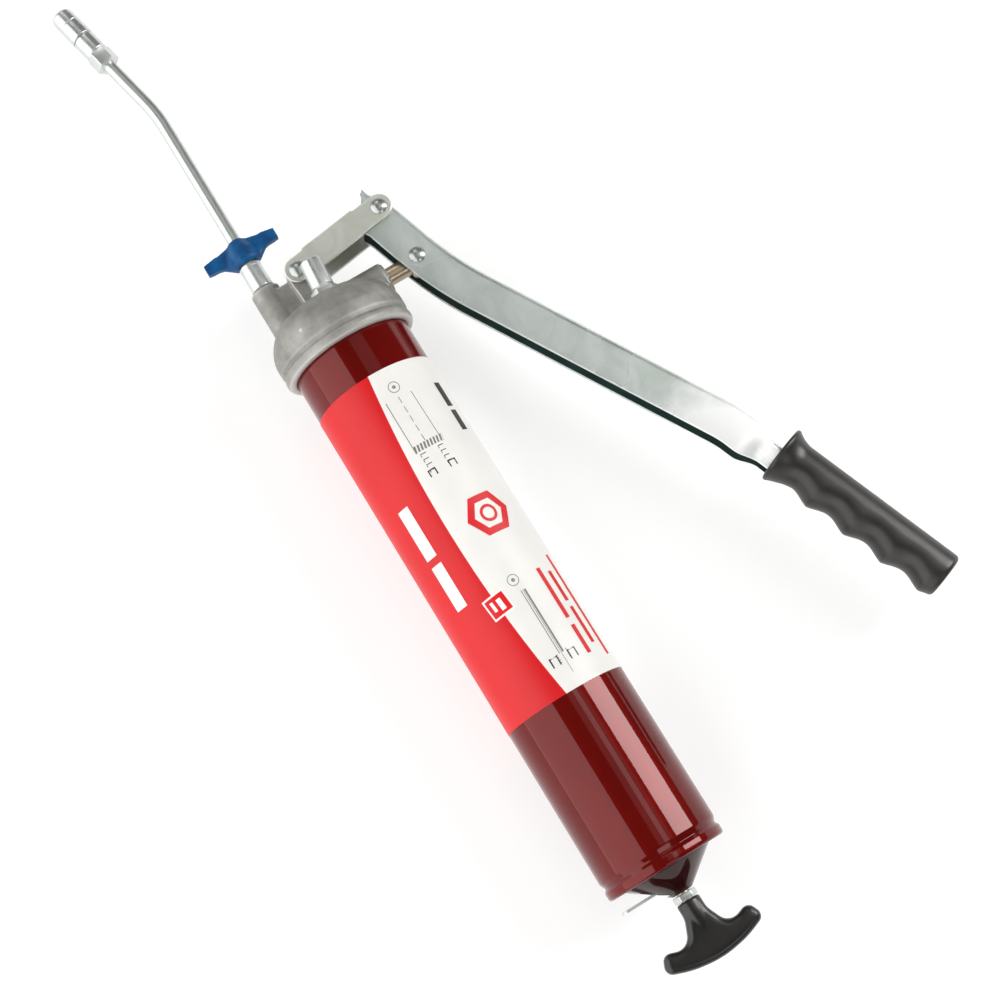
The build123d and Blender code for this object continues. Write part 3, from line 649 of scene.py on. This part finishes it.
def makeRearCap():
    s = capShape
    front = barrelShape["rear"] + barrelShape["lipThick"]
    cone, nose, hollow = s["coneRadius"], s["rear"] + s["noseWall"], s["coneRadius"] - s["wall"]
    build = bmesh.new()
    addTurned(build, rounded([
        (front + s["flange"], s["flangeRadius"], 0.3), (front, s["flangeRadius"], 0.3), (front, cone, 0.2),
        (front - 1.5, cone, 1.2), (s["rear"], s["noseRadius"] + 0.2, 1.2), (s["rear"], s["bore"], 0.3),
        (nose, s["bore"], 0.2), (nose, s["bore"] + 2, 0.5), (barrelShape["rear"], hollow, 1.0),
        (front + s["flange"], hollow, 0.3)], closed=True), sides=128)
    length, height, width = latchShape["slot"]
    slot = bmesh.new()
    middleOfSlot = Matrix.Translation((latchShape["station"], height / 2 + 3, 0))
    bmesh.ops.create_cube(slot, size=1, matrix=middleOfSlot @ Matrix.Diagonal((length, height, width, 1)))
    finishPiece("rear_cone", carved(meshFrom(build), slot), paints["capEnamel"], "barrel",
                ["rear_cap"])


def makeLatch():
    s = latchShape
    half, low, high, width = s["thickness"] / 2, s["low"], s["high"], s["halfWidth"]
    outline = rounded([(low, -width, 1.5), (high, -width, 2.5), (high, width, 2.5), (low, width, 1.5)],
                      closed=True)
    build = bmesh.new()
    place = Matrix.Translation((s["station"], 0, 0)) @ alongX
    faces = []
    for level in (-half, half):
        loops = [[build.verts.new(place @ Vector((*p, level))) for p in points]
                 for points in (outline, circle(s["bore"], 24))]
        edges = [build.edges.new((a, b)) for loop in loops for a, b in zip(loop, loop[1:] + loop[:1])]
        bmesh.ops.triangle_fill(build, use_beauty=True, edges=edges)
        faces.append(loops)
    for one, two in zip(*faces):
        bridge(build, one, two)
    finishPiece("latch_blade", build, paints["plate"], "latch", ["rod_latch"])


def makeRod():
    low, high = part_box("follower_rod")
    start, end = (low.x - rim) / mm, (high.x - rim) / mm
    radius = (high.z - low.z) / 2 / mm
    build = bmesh.new()
    addTurned(build, rounded([(start, 0), (start, radius, 0.5), (end, radius, 0.8), (end, 0)]), sides=64)
    finishPiece("drawn_rod", build, paints["ground"], "rod", ["follower_rod"])


nutShape = {"flats": 9.6, "length": 3.0, "edge": 0.4}


def makeJamNut():
    s = nutShape
    start = (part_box("rod_jam_nut")[0].x - rim) / mm
    build = bmesh.new()
    addSlab(build, hexOutline(s["flats"]), start, start + s["length"], edge=s["edge"], place=alongX)
    finishPiece("jam_nut", build, paints["bright"], "handle", ["rod_jam_nut"])


handleShape = {
    "half": [(-281.0, 5.3, 3.1), (-287.5, 5.4, 9), (-298.5, 10.2, 8), (-294.7, 21.0, 3.4),
             (-302.8, 24.6, 3.4), (-306.9, 13.5, 48)],
    "halfThick": 4.5, "edge": 3.1, "shank": (-281.0, -288.0, 5.45), "melt": (-303.0, 3.4), "back": -308.9,
    "backRound": 52, "bore": 3.04, "boreStart": -277.0, "boreEnd": -302.5, "voxel": 0.4, "passes": 14,
}


def makeHandle():
    s = handleShape
    other = [(x, -y, radius) for x, y, radius in reversed(s["half"])]
    outline = rounded(s["half"] + [(s["back"], 0.0, s["backRound"])] + other, closed=True, steps=8)
    build = bmesh.new()
    addSlab(build, outline, -s["halfThick"], s["halfThick"], edge=s["edge"], steps=5)
    front, back, radius = s["shank"]
    meltEnd, meltRadius = s["melt"]           # the round shank runs out inside the flat body
    addTurned(build, rounded([(front, 0), (front, radius, 0.8), (back, radius, 30), (meltEnd, meltRadius, 1),
                              (meltEnd, 0)]), sides=64)
    body = meshFrom(build)
    body.transform(gunPlace)
    mesh = softened(body, s["voxel"], s["passes"])
    mesh.transform(gunPlace.inverted())
    bore = bmesh.new()
    addTurned(bore, [(s["boreStart"], 0), (s["boreStart"], s["bore"]), (s["boreEnd"], s["bore"]),
                     (s["boreEnd"], 0)], sides=64)
    finishPiece("tee_grip", carved(mesh, bore), paints["glossBlack"], "handle",
                ["tee_handle"], sharp=60)


headShape = {"voxel": 0.5, "passes": 3, "grooveStation": 5.6, "grooveDepth": 0.7, "grooveWidth": 1.2,
             "grooveReach": 6, "bandFrom": 30.5}


def makeHead():
    s = headShape
    mesh = remeshed("head_casting", s["voxel"], s["passes"])
    for vertex in mesh.vertices:                 # shallow groove that sets off the rim's rolled band
        local = gunPlace.inverted() @ vertex.co
        radius = hypot(local.y, local.z)
        away = local.x - s["grooveStation"]
        if radius > s["bandFrom"] and abs(away) < s["grooveReach"]:
            sink = s["grooveDepth"] * exp(-(away / s["grooveWidth"]) ** 2)
            local.y *= 1 - sink / radius
            local.z *= 1 - sink / radius
            vertex.co = gunPlace @ local
    finishPiece("pump_head", mesh, castAluminium(), "head", ["head_casting"], place=inPlace,
                sharp=180)


fittingShape = {"back": 39.0, "shoulder": 49.0, "face": 62.0, "neck": 68.0, "radius": 5.3,
                "threadRadius": 4.25, "neckRadius": 4.0, "bore": 1.5, "ringDepth": 0.25}


def makeFitting():
    s = fittingShape
    place = gunPlace @ Matrix.Translation((0, outletY, 0))
    outer, ring, thread = s["radius"], s["radius"] - s["ringDepth"], s["threadRadius"]
    back, shoulder, face = s["back"], s["shoulder"], s["face"]
    build = bmesh.new()
    addTurned(build, rounded([
        (back, s["bore"], 0.2), (back, thread, 0.5), (shoulder, thread, 0.1), (shoulder, outer, 0.35),
        (face - 2.6, outer, 0.1), (face - 2.4, ring, 0.1), (face - 2.0, ring, 0.1), (face - 1.8, outer, 0.1),
        (face, outer, 0.6), (face, s["neckRadius"], 0.1),
        (s["neck"], s["neckRadius"], 0.5), (s["neck"], s["bore"], 0.2)], closed=True))
    finishPiece("outlet_stem", build, paints["bright"], "head", ["outlet_fitting"],
                place=place)


fillerShape = {"flats": 11.6, "hexLength": 2.7, "hexEdge": 0.35, "radius": 5.35, "length": 17.5, "tilt": -5.3,
               "stud": 3.6, "studLength": 6.0, "bore": 1.5, "ballBore": 2.5, "seat": 14.5,
               "base": (25.5, -3.0, 17.6)}


def makeFiller():
    s = fillerShape
    place = gunPlace @ Matrix.Translation(s["base"]) @ turnZ(s["tilt"])
    outer, bore, hexEnd, end = s["radius"], s["bore"], s["hexLength"], s["length"]
    build = bmesh.new()
    addSlab(build, hexOutline(s["flats"]), 0, hexEnd, edge=s["hexEdge"], place=alongX)
    addTurned(build, rounded([
        (-s["studLength"], bore, 0.1), (-s["studLength"], s["stud"], 0.4), (0.2, s["stud"], 0.1),
        (0.2, outer - 1.2, 0.1), (hexEnd - 0.4, outer - 0.6, 0.1), (hexEnd + 0.5, outer - 0.5, 0.2),
        (hexEnd + 1.2, outer, 0.3), (end, outer, 0.8), (end, bore + 0.8, 0.3), (end - 1.0, bore, 0.2),
        (s["seat"], bore, 0.1), (s["seat"] - 0.8, s["ballBore"], 0.1), (1.0, s["ballBore"], 0.2),
        (1.0, bore, 0.1)], closed=True))
    finishPiece("filler_stem", build, paints["bright"], "head", ["filler_nipple"],
                place=place)


wingShape = {"voxel": 0.32, "passes": 6, "hubReach": 11.5, "hubPasses": 60}


def makeWingNut():
    s = wingShape
    mesh = remeshed("wing_nut", s["voxel"], s["passes"])
    middleY = middle("wing_nut").y
    build = bmesh.new()
    build.from_mesh(mesh)
    hub = [v for v in build.verts if abs(v.co.y - middleY) < s["hubReach"] * mm]
    for _ in range(s["hubPasses"]):           # the hub runs out smoothly into both wings
        bmesh.ops.smooth_vert(build, verts=hub, factor=0.5, use_axis_x=True, use_axis_y=True, use_axis_z=True)
    build.to_mesh(mesh)
    build.free()
    finishPiece("wing_nut_coated", mesh, blueCoating(), "wing", ["wing_nut"], place=inPlace,
                sharp=180)


spoutShape = {"start": 68.3, "corner": 149.3, "angle": 12.2, "bend": 70.0, "radius": 3.2, "wall": 1.2,
              "coupler": 34.5, "grip": 9.0, "step": 1.5, "sides": 48}


def makeSpout():
    s = spoutShape
    reach = s["coupler"] + s["grip"]
    turn = radians(s["angle"])
    corners = [(s["start"], outletY), (s["corner"], outletY, s["bend"]),
               (s["corner"] + reach * cos(turn), outletY + reach * sin(turn))]
    path = walk(rounded(corners, steps=24), s["step"])
    build = bmesh.new()
    outside, inside = [addSwept(build, path, lambda i: circle(radius, s["sides"]))
                       for radius in (s["radius"], s["radius"] - s["wall"])]
    for end in (0, -1):
        bridge(build, outside[end], inside[end])
    finishPiece("bent_spout", build, paints["tube"], "spout", ["spout_tube"])


couplerShape = {"flats": 10.8, "hexLength": 8.0, "hexEdge": 0.45, "radius": 5.45, "bodyLength": 18.3,
                "neckRadius": 4.6, "neck": 23.3, "cavity": 12.0, "cavityRadius": 3.3, "bore": 1.5,
                "sleeveStart": 18.8, "sleeveRadius": 5.6, "length": 35.3, "jawRadius": 4.55, "mouth": 3.8}


def makeCoupler():
    s = couplerShape
    place = (gunPlace @ Matrix.Translation((spoutShape["corner"], outletY, 0)) @ turnZ(spoutShape["angle"])
             @ Matrix.Translation((spoutShape["coupler"], 0, 0)))
    tube, tubeEnd = spoutShape["radius"], spoutShape["grip"]
    outer, hexEnd, neck, neckRadius = s["radius"], s["hexLength"], s["neck"], s["neckRadius"]
    cavity, hollow = s["cavity"], s["cavityRadius"]
    build = bmesh.new()
    addTurned(build, rounded([
        (0.6, tube, 0.1), (0.6, outer - 0.4, 0.2), (hexEnd - 0.6, outer - 0.3, 0.1),
        (hexEnd + 0.4, outer - 0.3, 0.2), (hexEnd + 0.8, outer, 0.2), (s["bodyLength"], outer, 0.45),
        (s["bodyLength"], neckRadius - 0.1, 0.1), (neck, neckRadius - 0.1, 0.2), (neck, hollow, 0.1),
        (cavity, hollow, 0.2), (cavity, s["bore"], 0.1), (tubeEnd, s["bore"], 0.1),
        (tubeEnd, tube, 0.1)], closed=True))
    addSlab(build, hexOutline(s["flats"]), 0, hexEnd, edge=s["hexEdge"], place=alongX)
    finishPiece("coupler_barrel", build, paints["bright"], "spout", ["coupler_body"],
                place=place)
    nose, outer, start, jaws = s["length"], s["sleeveRadius"], s["sleeveStart"], s["jawRadius"]
    build = bmesh.new()
    addTurned(build, rounded([
        (start, neckRadius, 0.1), (start, outer, 0.4), (nose - 8.4, outer, 0.15),
        (nose - 8.1, outer - 0.35, 0.1), (nose - 7.5, outer - 0.35, 0.1), (nose - 7.2, outer - 0.1, 0.15),
        (nose - 3.2, outer - 0.1, 0.1), (nose - 3.0, outer - 0.3, 0.1), (nose - 1.3, outer - 0.3, 0.8),
        (nose, outer - 1.3, 0.4), (nose, s["mouth"], 0.3), (nose - 1.5, jaws, 0.2), (neck, jaws, 0.1),
        (neck, neckRadius, 0.1)], closed=True))
    finishPiece("coupler_sleeve_turned", build, paints["bright"], "spout",
                ["coupler_sleeve"], place=place)


linkShape = {"voxel": 0.3, "passes": 3}


def makeLink():
    mesh = remeshed("toggle_link", linkShape["voxel"], linkShape["passes"])
    finishPiece("pressed_link", mesh, paints["link"], "link", ["toggle_link"], place=inPlace,
                sharp=180)


rivetShape = {"shank": 2.5, "head": 3.75, "height": 1.8, "lip": 0.35, "chamfer": (0.15, 0.12)}


# a peened rivet: a plain shank with a rolled dome at each end
def makeRivet(name, node, body):
    s = rivetShape
    low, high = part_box(node)
    centre = fromAxis(node)
    half = (high.z - low.z) / 2 / mm - s["height"]
    radius, height = s["head"], s["height"] - s["lip"]
    ball = (radius ** 2 + height ** 2) / (2 * height)
    reach = asin(radius / ball)
    inset, rise = s["chamfer"]
    tops = [(half, s["shank"]), (half, radius - inset), (half + rise, radius)]
    for k in range(11):
        a = reach * (1 - k / 10)
        tops.append((half + s["lip"] + ball * (cos(a) - cos(reach)), ball * sin(a)))
    tops[-1] = (tops[-1][0], 0)
    build = bmesh.new()
    addTurned(build, [(-x, r) for x, r in reversed(tops)] + tops, sides=48)
    place = gunPlace @ Matrix.Translation((centre.x, centre.y, 0)) @ Matrix.Rotation(-pi / 2, 4, "Y")
    finishPiece(name, build, paints["rivet"], body, [node], place=place)


def makeRivets():
    for node, body in (("pivot_rivet", "link"), ("knee_rivet", "link"), ("crosshead_pin", "lever")):
        makeRivet(node + "_domed", node, body)


plungerShape = {"radius": 4.25, "top": -2.0, "rodStart": -45.3, "slotHalf": (4.2, 3.0), "wall": 2.2,
                "eyeRound": 3, "halfThick": 4.0}


def makePlunger():
    s = plungerShape
    crosshead = fromAxis("crosshead_pin")
    pumpPlace = gunPlace @ Matrix.Translation((crosshead.x, 0, 0)) @ turnZ(90)
    build = bmesh.new()
    start, top, radius = s["rodStart"], s["top"], s["radius"]
    addTurned(build, rounded([(start, 0), (start, radius, 0.3), (top, radius, 0.6), (top, 0)]), sides=64)
    halfX, halfY = s["slotHalf"]
    corners = ((1, 1), (-1, 1), (-1, -1), (1, -1))
    eye = [rounded([(x * (halfX + s["wall"]), y * (halfY + s["wall"]), s["eyeRound"]) for x, y in corners],
                   closed=True),
           rounded([(x * halfX, y * halfY, halfY - 0.1) for x, y in corners], closed=True)]
    place = turnZ(-90) @ Matrix.Translation((0, crosshead.y, 0))
    below, above = [[[build.verts.new(place @ Vector((x, y, z))) for x, y in loop] for loop in eye]
                    for z in (-s["halfThick"], s["halfThick"])]
    for one, two in (below, above, (below[0], above[0]), (below[1], above[1])):
        bridge(build, one, two)
    finishPiece("plunger_ground", build, paints["ground"], "plunger", ["plunger"],
                place=pumpPlace)


leverShape = {
    "nose": (64.5, -42.8), "front": (50.5, -51.2), "bend": (14.7, -62.3), "heel": (-112.0, -134.6),
    "end": (-137.0, -143.8), "radii": (26.0, 190.0, 60.0), "height": 18.0, "halfWidth": 7.7, "wall": 1.8,
    "corner": 3.0, "tip": 0.45, "insideFaces": (18, 31), "noseLength": 9.6, "noseHeight": 0.7,
    "neckStart": 17.0, "neckLength": 12.0, "neckHeight": 12.4, "neckHalfWidth": 5.9, "neckDrop": 2.6,
    "step": 1.0,
}


# section of the pressed channel as (depth, z): web at depth 0, walls standing to the height
def channelSection(height, halfWidth):
    wall, corner, tip = leverShape["wall"], leverShape["corner"], leverShape["tip"]
    inner = max(0.3, corner - wall)
    upper = rounded([(0, 0), (0, halfWidth, corner), (height, halfWidth, tip),
                     (height, halfWidth - wall, tip), (wall, halfWidth - wall, inner), (wall, 0)])
    return upper + [(d, -z) for d, z in reversed(upper[1:-1])]


def makeLever():
    s = leverShape
    first, second, third = s["radii"]
    line = rounded([s["nose"], (*s["front"], first), (*s["bend"], second), (*s["heel"], third), s["end"]],
                   steps=30)
    path = walk(line, s["step"])
    total = s["step"] * (len(path) - 1)

    def sectionAt(i):
        run = s["step"] * i
        height, halfWidth = s["height"], s["halfWidth"]
        if run < s["noseLength"]:                 # the walls rise from the pointed nose
            height = s["noseHeight"] + (s["height"] - s["noseHeight"]) * run / s["noseLength"]
        share = min(1, max(0, (run - total + s["neckStart"]) / s["neckLength"]))
        ease = share * share * (3 - 2 * share)    # the channel is pressed in to a neck for the grip
        height += (s["neckHeight"] - s["height"]) * ease
        halfWidth += (s["neckHalfWidth"] - s["halfWidth"]) * ease
        return [(depth + s["neckDrop"] * ease, z) for depth, z in channelSection(height, halfWidth)]

    build = bmesh.new()
    rows = addSwept(build, path, sectionAt)
    # the channel's inner faces get the painted shade: dark teal where shadow falls inside the channel
    insideFrom, insideTo = s["insideFaces"]
    for number, face in enumerate(build.faces):   # faces inside the channel, counted round the section
        if insideFrom <= number % len(rows[0]) <= insideTo:
            face.material_index = 1
    build.faces.new(rows[0])
    build.faces.new(rows[-1])
    mesh = meshFrom(build)
    indices = [face.material_index for face in mesh.polygons]
    piece = finishPiece("pressed_lever", mesh, paints["lever"], "lever", ["lever"], sharp=50)
    piece.data.materials.append(paints["shade"])
    piece.data.polygons.foreach_set("material_index", indices)


gripShape = {"front": (-138.2, -139.3), "angle": 20.3, "length": 90.0, "halfHeight": 10.6, "halfWidth": 10.2,
             "flangeHalf": 13.5, "flangeLip": 1.6, "flangeFade": 8.5, "pitch": 20.2, "firstPeak": 23.3,
             "waveFrom": 14, "depth": 1.5, "endRound": 2.2, "endShrink": 0.2, "frontHollow": 0.35,
             "sides": 72, "step": 0.9}


def makeGrip():
    s = gripShape
    place = gunPlace @ Matrix.Translation((*s["front"], 0)) @ turnZ(180 + s["angle"])
    roundFrom = s["length"] - s["endRound"]

    def sectionAt(station, shrink=1.0):
        fade = max(0.0, 1 - max(0, station - s["flangeLip"]) / s["flangeFade"]) ** 2
        flare = (s["flangeHalf"] - s["halfHeight"]) * fade
        turn = (station - s["firstPeak"]) / s["pitch"]
        scallop = 0.5 * cos(tau * turn) + 0.5 - abs(sin(pi * turn))
        wave = s["depth"] * scallop * min(1, max(0, station / s["waveFrom"])) * (1 - fade)
        ring = []
        for x, y in circle(1, s["sides"]):
            towards = max(0.0, 0.3 - x) / 1.3      # the barrel side of the grip
            height = (s["halfHeight"] + flare) * x - wave * towards
            width = (s["halfWidth"] + flare) * y * (1 + 0.03 * wave * towards)
            ring.append((height * shrink, width * shrink))
        return ring

    rings = [(at, sectionAt(at, shrink)) for at, shrink in ((0, 0.86), (0.1, 0.95), (0.5, 0.99), (0.8, 1))]
    station = s["flangeLip"]
    while station < roundFrom:
        rings.append((station, sectionAt(station)))
        station += s["step"]
    for k in range(1, 7):
        bend = pi / 2 * k / 6
        shrink = 1 - s["endShrink"] * (1 - cos(bend))
        rings.append((roundFrom + s["endRound"] * sin(bend), sectionAt(roundFrom, shrink)))
    build = bmesh.new()
    rows = [[build.verts.new((station, height, width)) for height, width in ring] for station, ring in rings]
    for one, two in zip(rows, rows[1:]):
        bridge(build, one, two)
    for row, station in ((rows[0], s["frontHollow"]), (rows[-1], s["length"])):
        inner = [build.verts.new((station, v.co.y * 0.8, v.co.z * 0.8)) for v in row]
        bridge(build, row, inner)
        build.faces.new(inner)
    finishPiece("moulded_grip", build, paints["satinBlack"], "lever", ["grip"], place=place,
                sharp=60)


paints = {
    "enamel": glossEnamel("stoved_maroon_enamel", "#6B0E0A", "#600C09", 0.28),
    "capEnamel": glossEnamel("stoved_dark_maroon_enamel", "#35090A", "#2A0708", 0.4),
    "plate": zincPlate("zinc_plated_steel", "#BFC6C2", "#D0D5D3", 18),
    "lever": leverPlate(),
    # painted shade: dark teal for the lever channel's shadowed inside
    "shade": mouldedSkin("painted_shade_lever_inside", "#17302D", "#223F3B", 0.45, 0.0, 1.5, 0.03),
    "link": zincPlate("zinc_plated_link", "#CBCDC3", "#D6D8CF", 14),
    "bright": turnedMetal("bright_zinc_plated_steel", "#D2D6D4", 0.3),
    "tube": turnedMetal("bright_drawn_tube", "#CED3D0", 0.3),
    "rivet": turnedMetal("rolled_rivet_steel", "#AEB2B0", 0.3, (1, 1, 1)),
    "ground": turnedMetal("ground_hardened_steel", "#B3A48E", 0.3, (0.15, 1, 0.15)),
    "spring": turnedMetal("drawn_spring_wire", "#8F8F8D", 0.3, (1, 1, 1)),
    "brass": turnedMetal("turned_brass", "#C9A45C", 0.25),
    "glossBlack": mouldedSkin("black_polypropylene", "#151413", "#1E1D1B", 0.34, 0.1, 0.8, 0.02),
    "satinBlack": mouldedSkin("satin_black_vinyl", "#1F1D1A", "#2A2825", 0.36, 0.0, 0.6, 0.05),
    "rubber": mouldedSkin("moulded_nitrile", "#151514", "#1E1E1C", 0.6, 0.0, 0.5, 0.04),
}

innerPaints = {
    "spring": ["latch_spring", "follower_spring", "outlet_spring", "coupler_spring", "filler_spring"],
    "rubber": ["follower_cup", "head_gasket", "plunger_seal", "coupler_seal"],
    "brass": ["follower_bush", "spout_ferrule"],
    "ground": ["outlet_ball", "coupler_ball", "filler_ball", "coupler_jaws"],
    "bright": ["latch_seat_washer"],
    "plate": ["follower_front_plate", "follower_rear_plate"],
}

stages = {
    "barrel and label": (makeBarrel, makeLabel, makePrint),
    "rear end": (makeRearCap, makeLatch, makeRod, makeJamNut, makeHandle),
    "head": (makeHead, makeFitting, makeFiller, makeWingNut),
    "spout": (makeSpout, makeCoupler),
    "link and lever": (makeLink, makeRivets, makePlunger, makeLever, makeGrip),
}
for stage, makers in stages.items():
    for make in makers:
        make()
    print(stage, "made")
for paint, nodeNames in innerPaints.items():
    for node in nodeNames:
        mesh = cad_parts[node].data
        mesh.materials.clear()
        mesh.materials.append(paints[paint])
print("inner pieces painted")


studio = {      # sizes in metres, the camera's place in mm
    "floorSize": 24.0, "floorDark": "#A4A4A4", "floorLight": "#A8A8A8", "floorPatch": 300, "floorLift": 0.66,
    "backdrop": (11.5, 14.0), "backdropColour": "#D6D6D6", "backdropSides": 96,     # radius and height
    "world": 0.05, "worldTint": (0.93, 0.97, 1.0), "lampTint": (1.0, 0.99, 0.975),
    "camera": (-222.1, 137.2, 873.6), "turn": (13.125, 1.042, -121.161), "lens": 70.2,
}
lamps = {      # place, what it aims at, width and height in metres, glow
    "strip_near": ((-0.07, -1.10, 0.83), (-0.07, 0.07, 0.06), (0.47, 0.94), 11.0),
    "wall_far": ((0.0, 1.05, 1.06), (0.0, 0.0, 1.06), (3.2, 2.1), 2.2),
    "ceiling": ((0.42, -0.44, 1.6), (0.42, -0.44, 0.0), (1.55, 0.82), 0.5),
    "glare": ((-0.10, -0.46, 1.58), (-0.10, -0.46, 0.0), (0.66, 0.26), 1.5),
    "key_rear": ((-2.2, -0.3, 1.9), (0.0, 0.0, 0.0), (1.0, 1.0), 2.6),
    "key_front": ((2.4, -0.3, 1.9), (0.0, 0.0, 0.0), (1.0, 1.0), 2.6),
}


def stagePiece(name, build, material):
    mesh = bpy.data.meshes.new(name)
    build.to_mesh(mesh)
    build.free()
    mesh.materials.append(material)
    piece = bpy.data.objects.new(name, mesh)
    scene.collection.objects.link(piece)
    return piece


# matt painted floor, lifted a little so that it stays an even white round the gun
def makeFloor():
    build = bmesh.new()
    half = studio["floorSize"] / 2
    rows = [[build.verts.new((x * half, y * half, cadLow.z)) for x in (-1, 0, 1)] for y in (-1, 0, 1)]
    for one, two in zip(rows, rows[1:]):
        for k in range(2):
            build.faces.new([one[k], one[k + 1], two[k + 1], two[k]])
    material, add, shader, where = newMaterial(
        "painted_studio_floor", Roughness=0.8, Emission_Color=(1, 1, 1, 1),
        Emission_Strength=studio["floorLift"])
    drift = add("TexNoise", {"Scale": perMetre(studio["floorPatch"]), "Detail": 2}, {"Vector": where})
    tone = add("ValToRGB", links={"Fac": drift},
               stops=[(0.3, studio["floorDark"]), (0.7, studio["floorLight"])])
    wire(shader, {"Base Color": tone})
    floor = stagePiece("floor", build, material)


# far pale wall, so that low views have no dark horizon; it doesn't light the gun or mirror in it
def makeBackdrop():
    build = bmesh.new()
    radius, height = studio["backdrop"]
    low, high = [[build.verts.new((x, y, z)) for x, y in circle(radius, studio["backdropSides"])]
                 for z in (cadLow.z - 0.01, height)]
    bridge(build, low, high)
    material, add, shader, where = newMaterial(
        "painted_backdrop", Base_Color=(0, 0, 0, 1), Roughness=1.0, Emission_Strength=1.0,
        Emission_Color=linear(studio["backdropColour"]))
    backdrop = stagePiece("backdrop", build, material)
    backdrop.visible_diffuse = backdrop.visible_glossy = backdrop.visible_shadow = False
    backdrop.visible_transmission = False


def makeLights():
    world = bpy.data.worlds.new("studio")
    scene.world = world
    world.use_nodes = True
    sky = world.node_tree.nodes["Background"]
    sky.inputs[0].default_value = (*studio["worldTint"], 1)
    sky.inputs[1].default_value = studio["world"]
    for name, (place, target, (width, height), glow) in lamps.items():
        light = bpy.data.lights.new(name, "AREA")
        light.shape = "RECTANGLE"
        light.color = studio["lampTint"]
        light.size, light.size_y = width, height
        light.energy = glow * pi * width * height
        lamp = bpy.data.objects.new(name, light)
        lamp.location = place
        lamp.rotation_euler = (Vector(target) - Vector(place)).to_track_quat("-Z", "Y").to_euler()
        lamp.visible_camera = False
        scene.collection.objects.link(lamp)


def makeCamera():
    camera = bpy.data.objects.new("camera", bpy.data.cameras.new("camera"))
    camera.location = Vector(studio["camera"]) * mm
    camera.rotation_euler = [radians(a) for a in studio["turn"]]
    camera.data.lens = studio["lens"]
    camera.data.clip_start = 0.01
    scene.collection.objects.link(camera)
    scene.camera = camera


makeFloor()
makeBackdrop()
makeLights()
makeCamera()
scene.view_settings.view_transform = "Standard"
print("studio made")
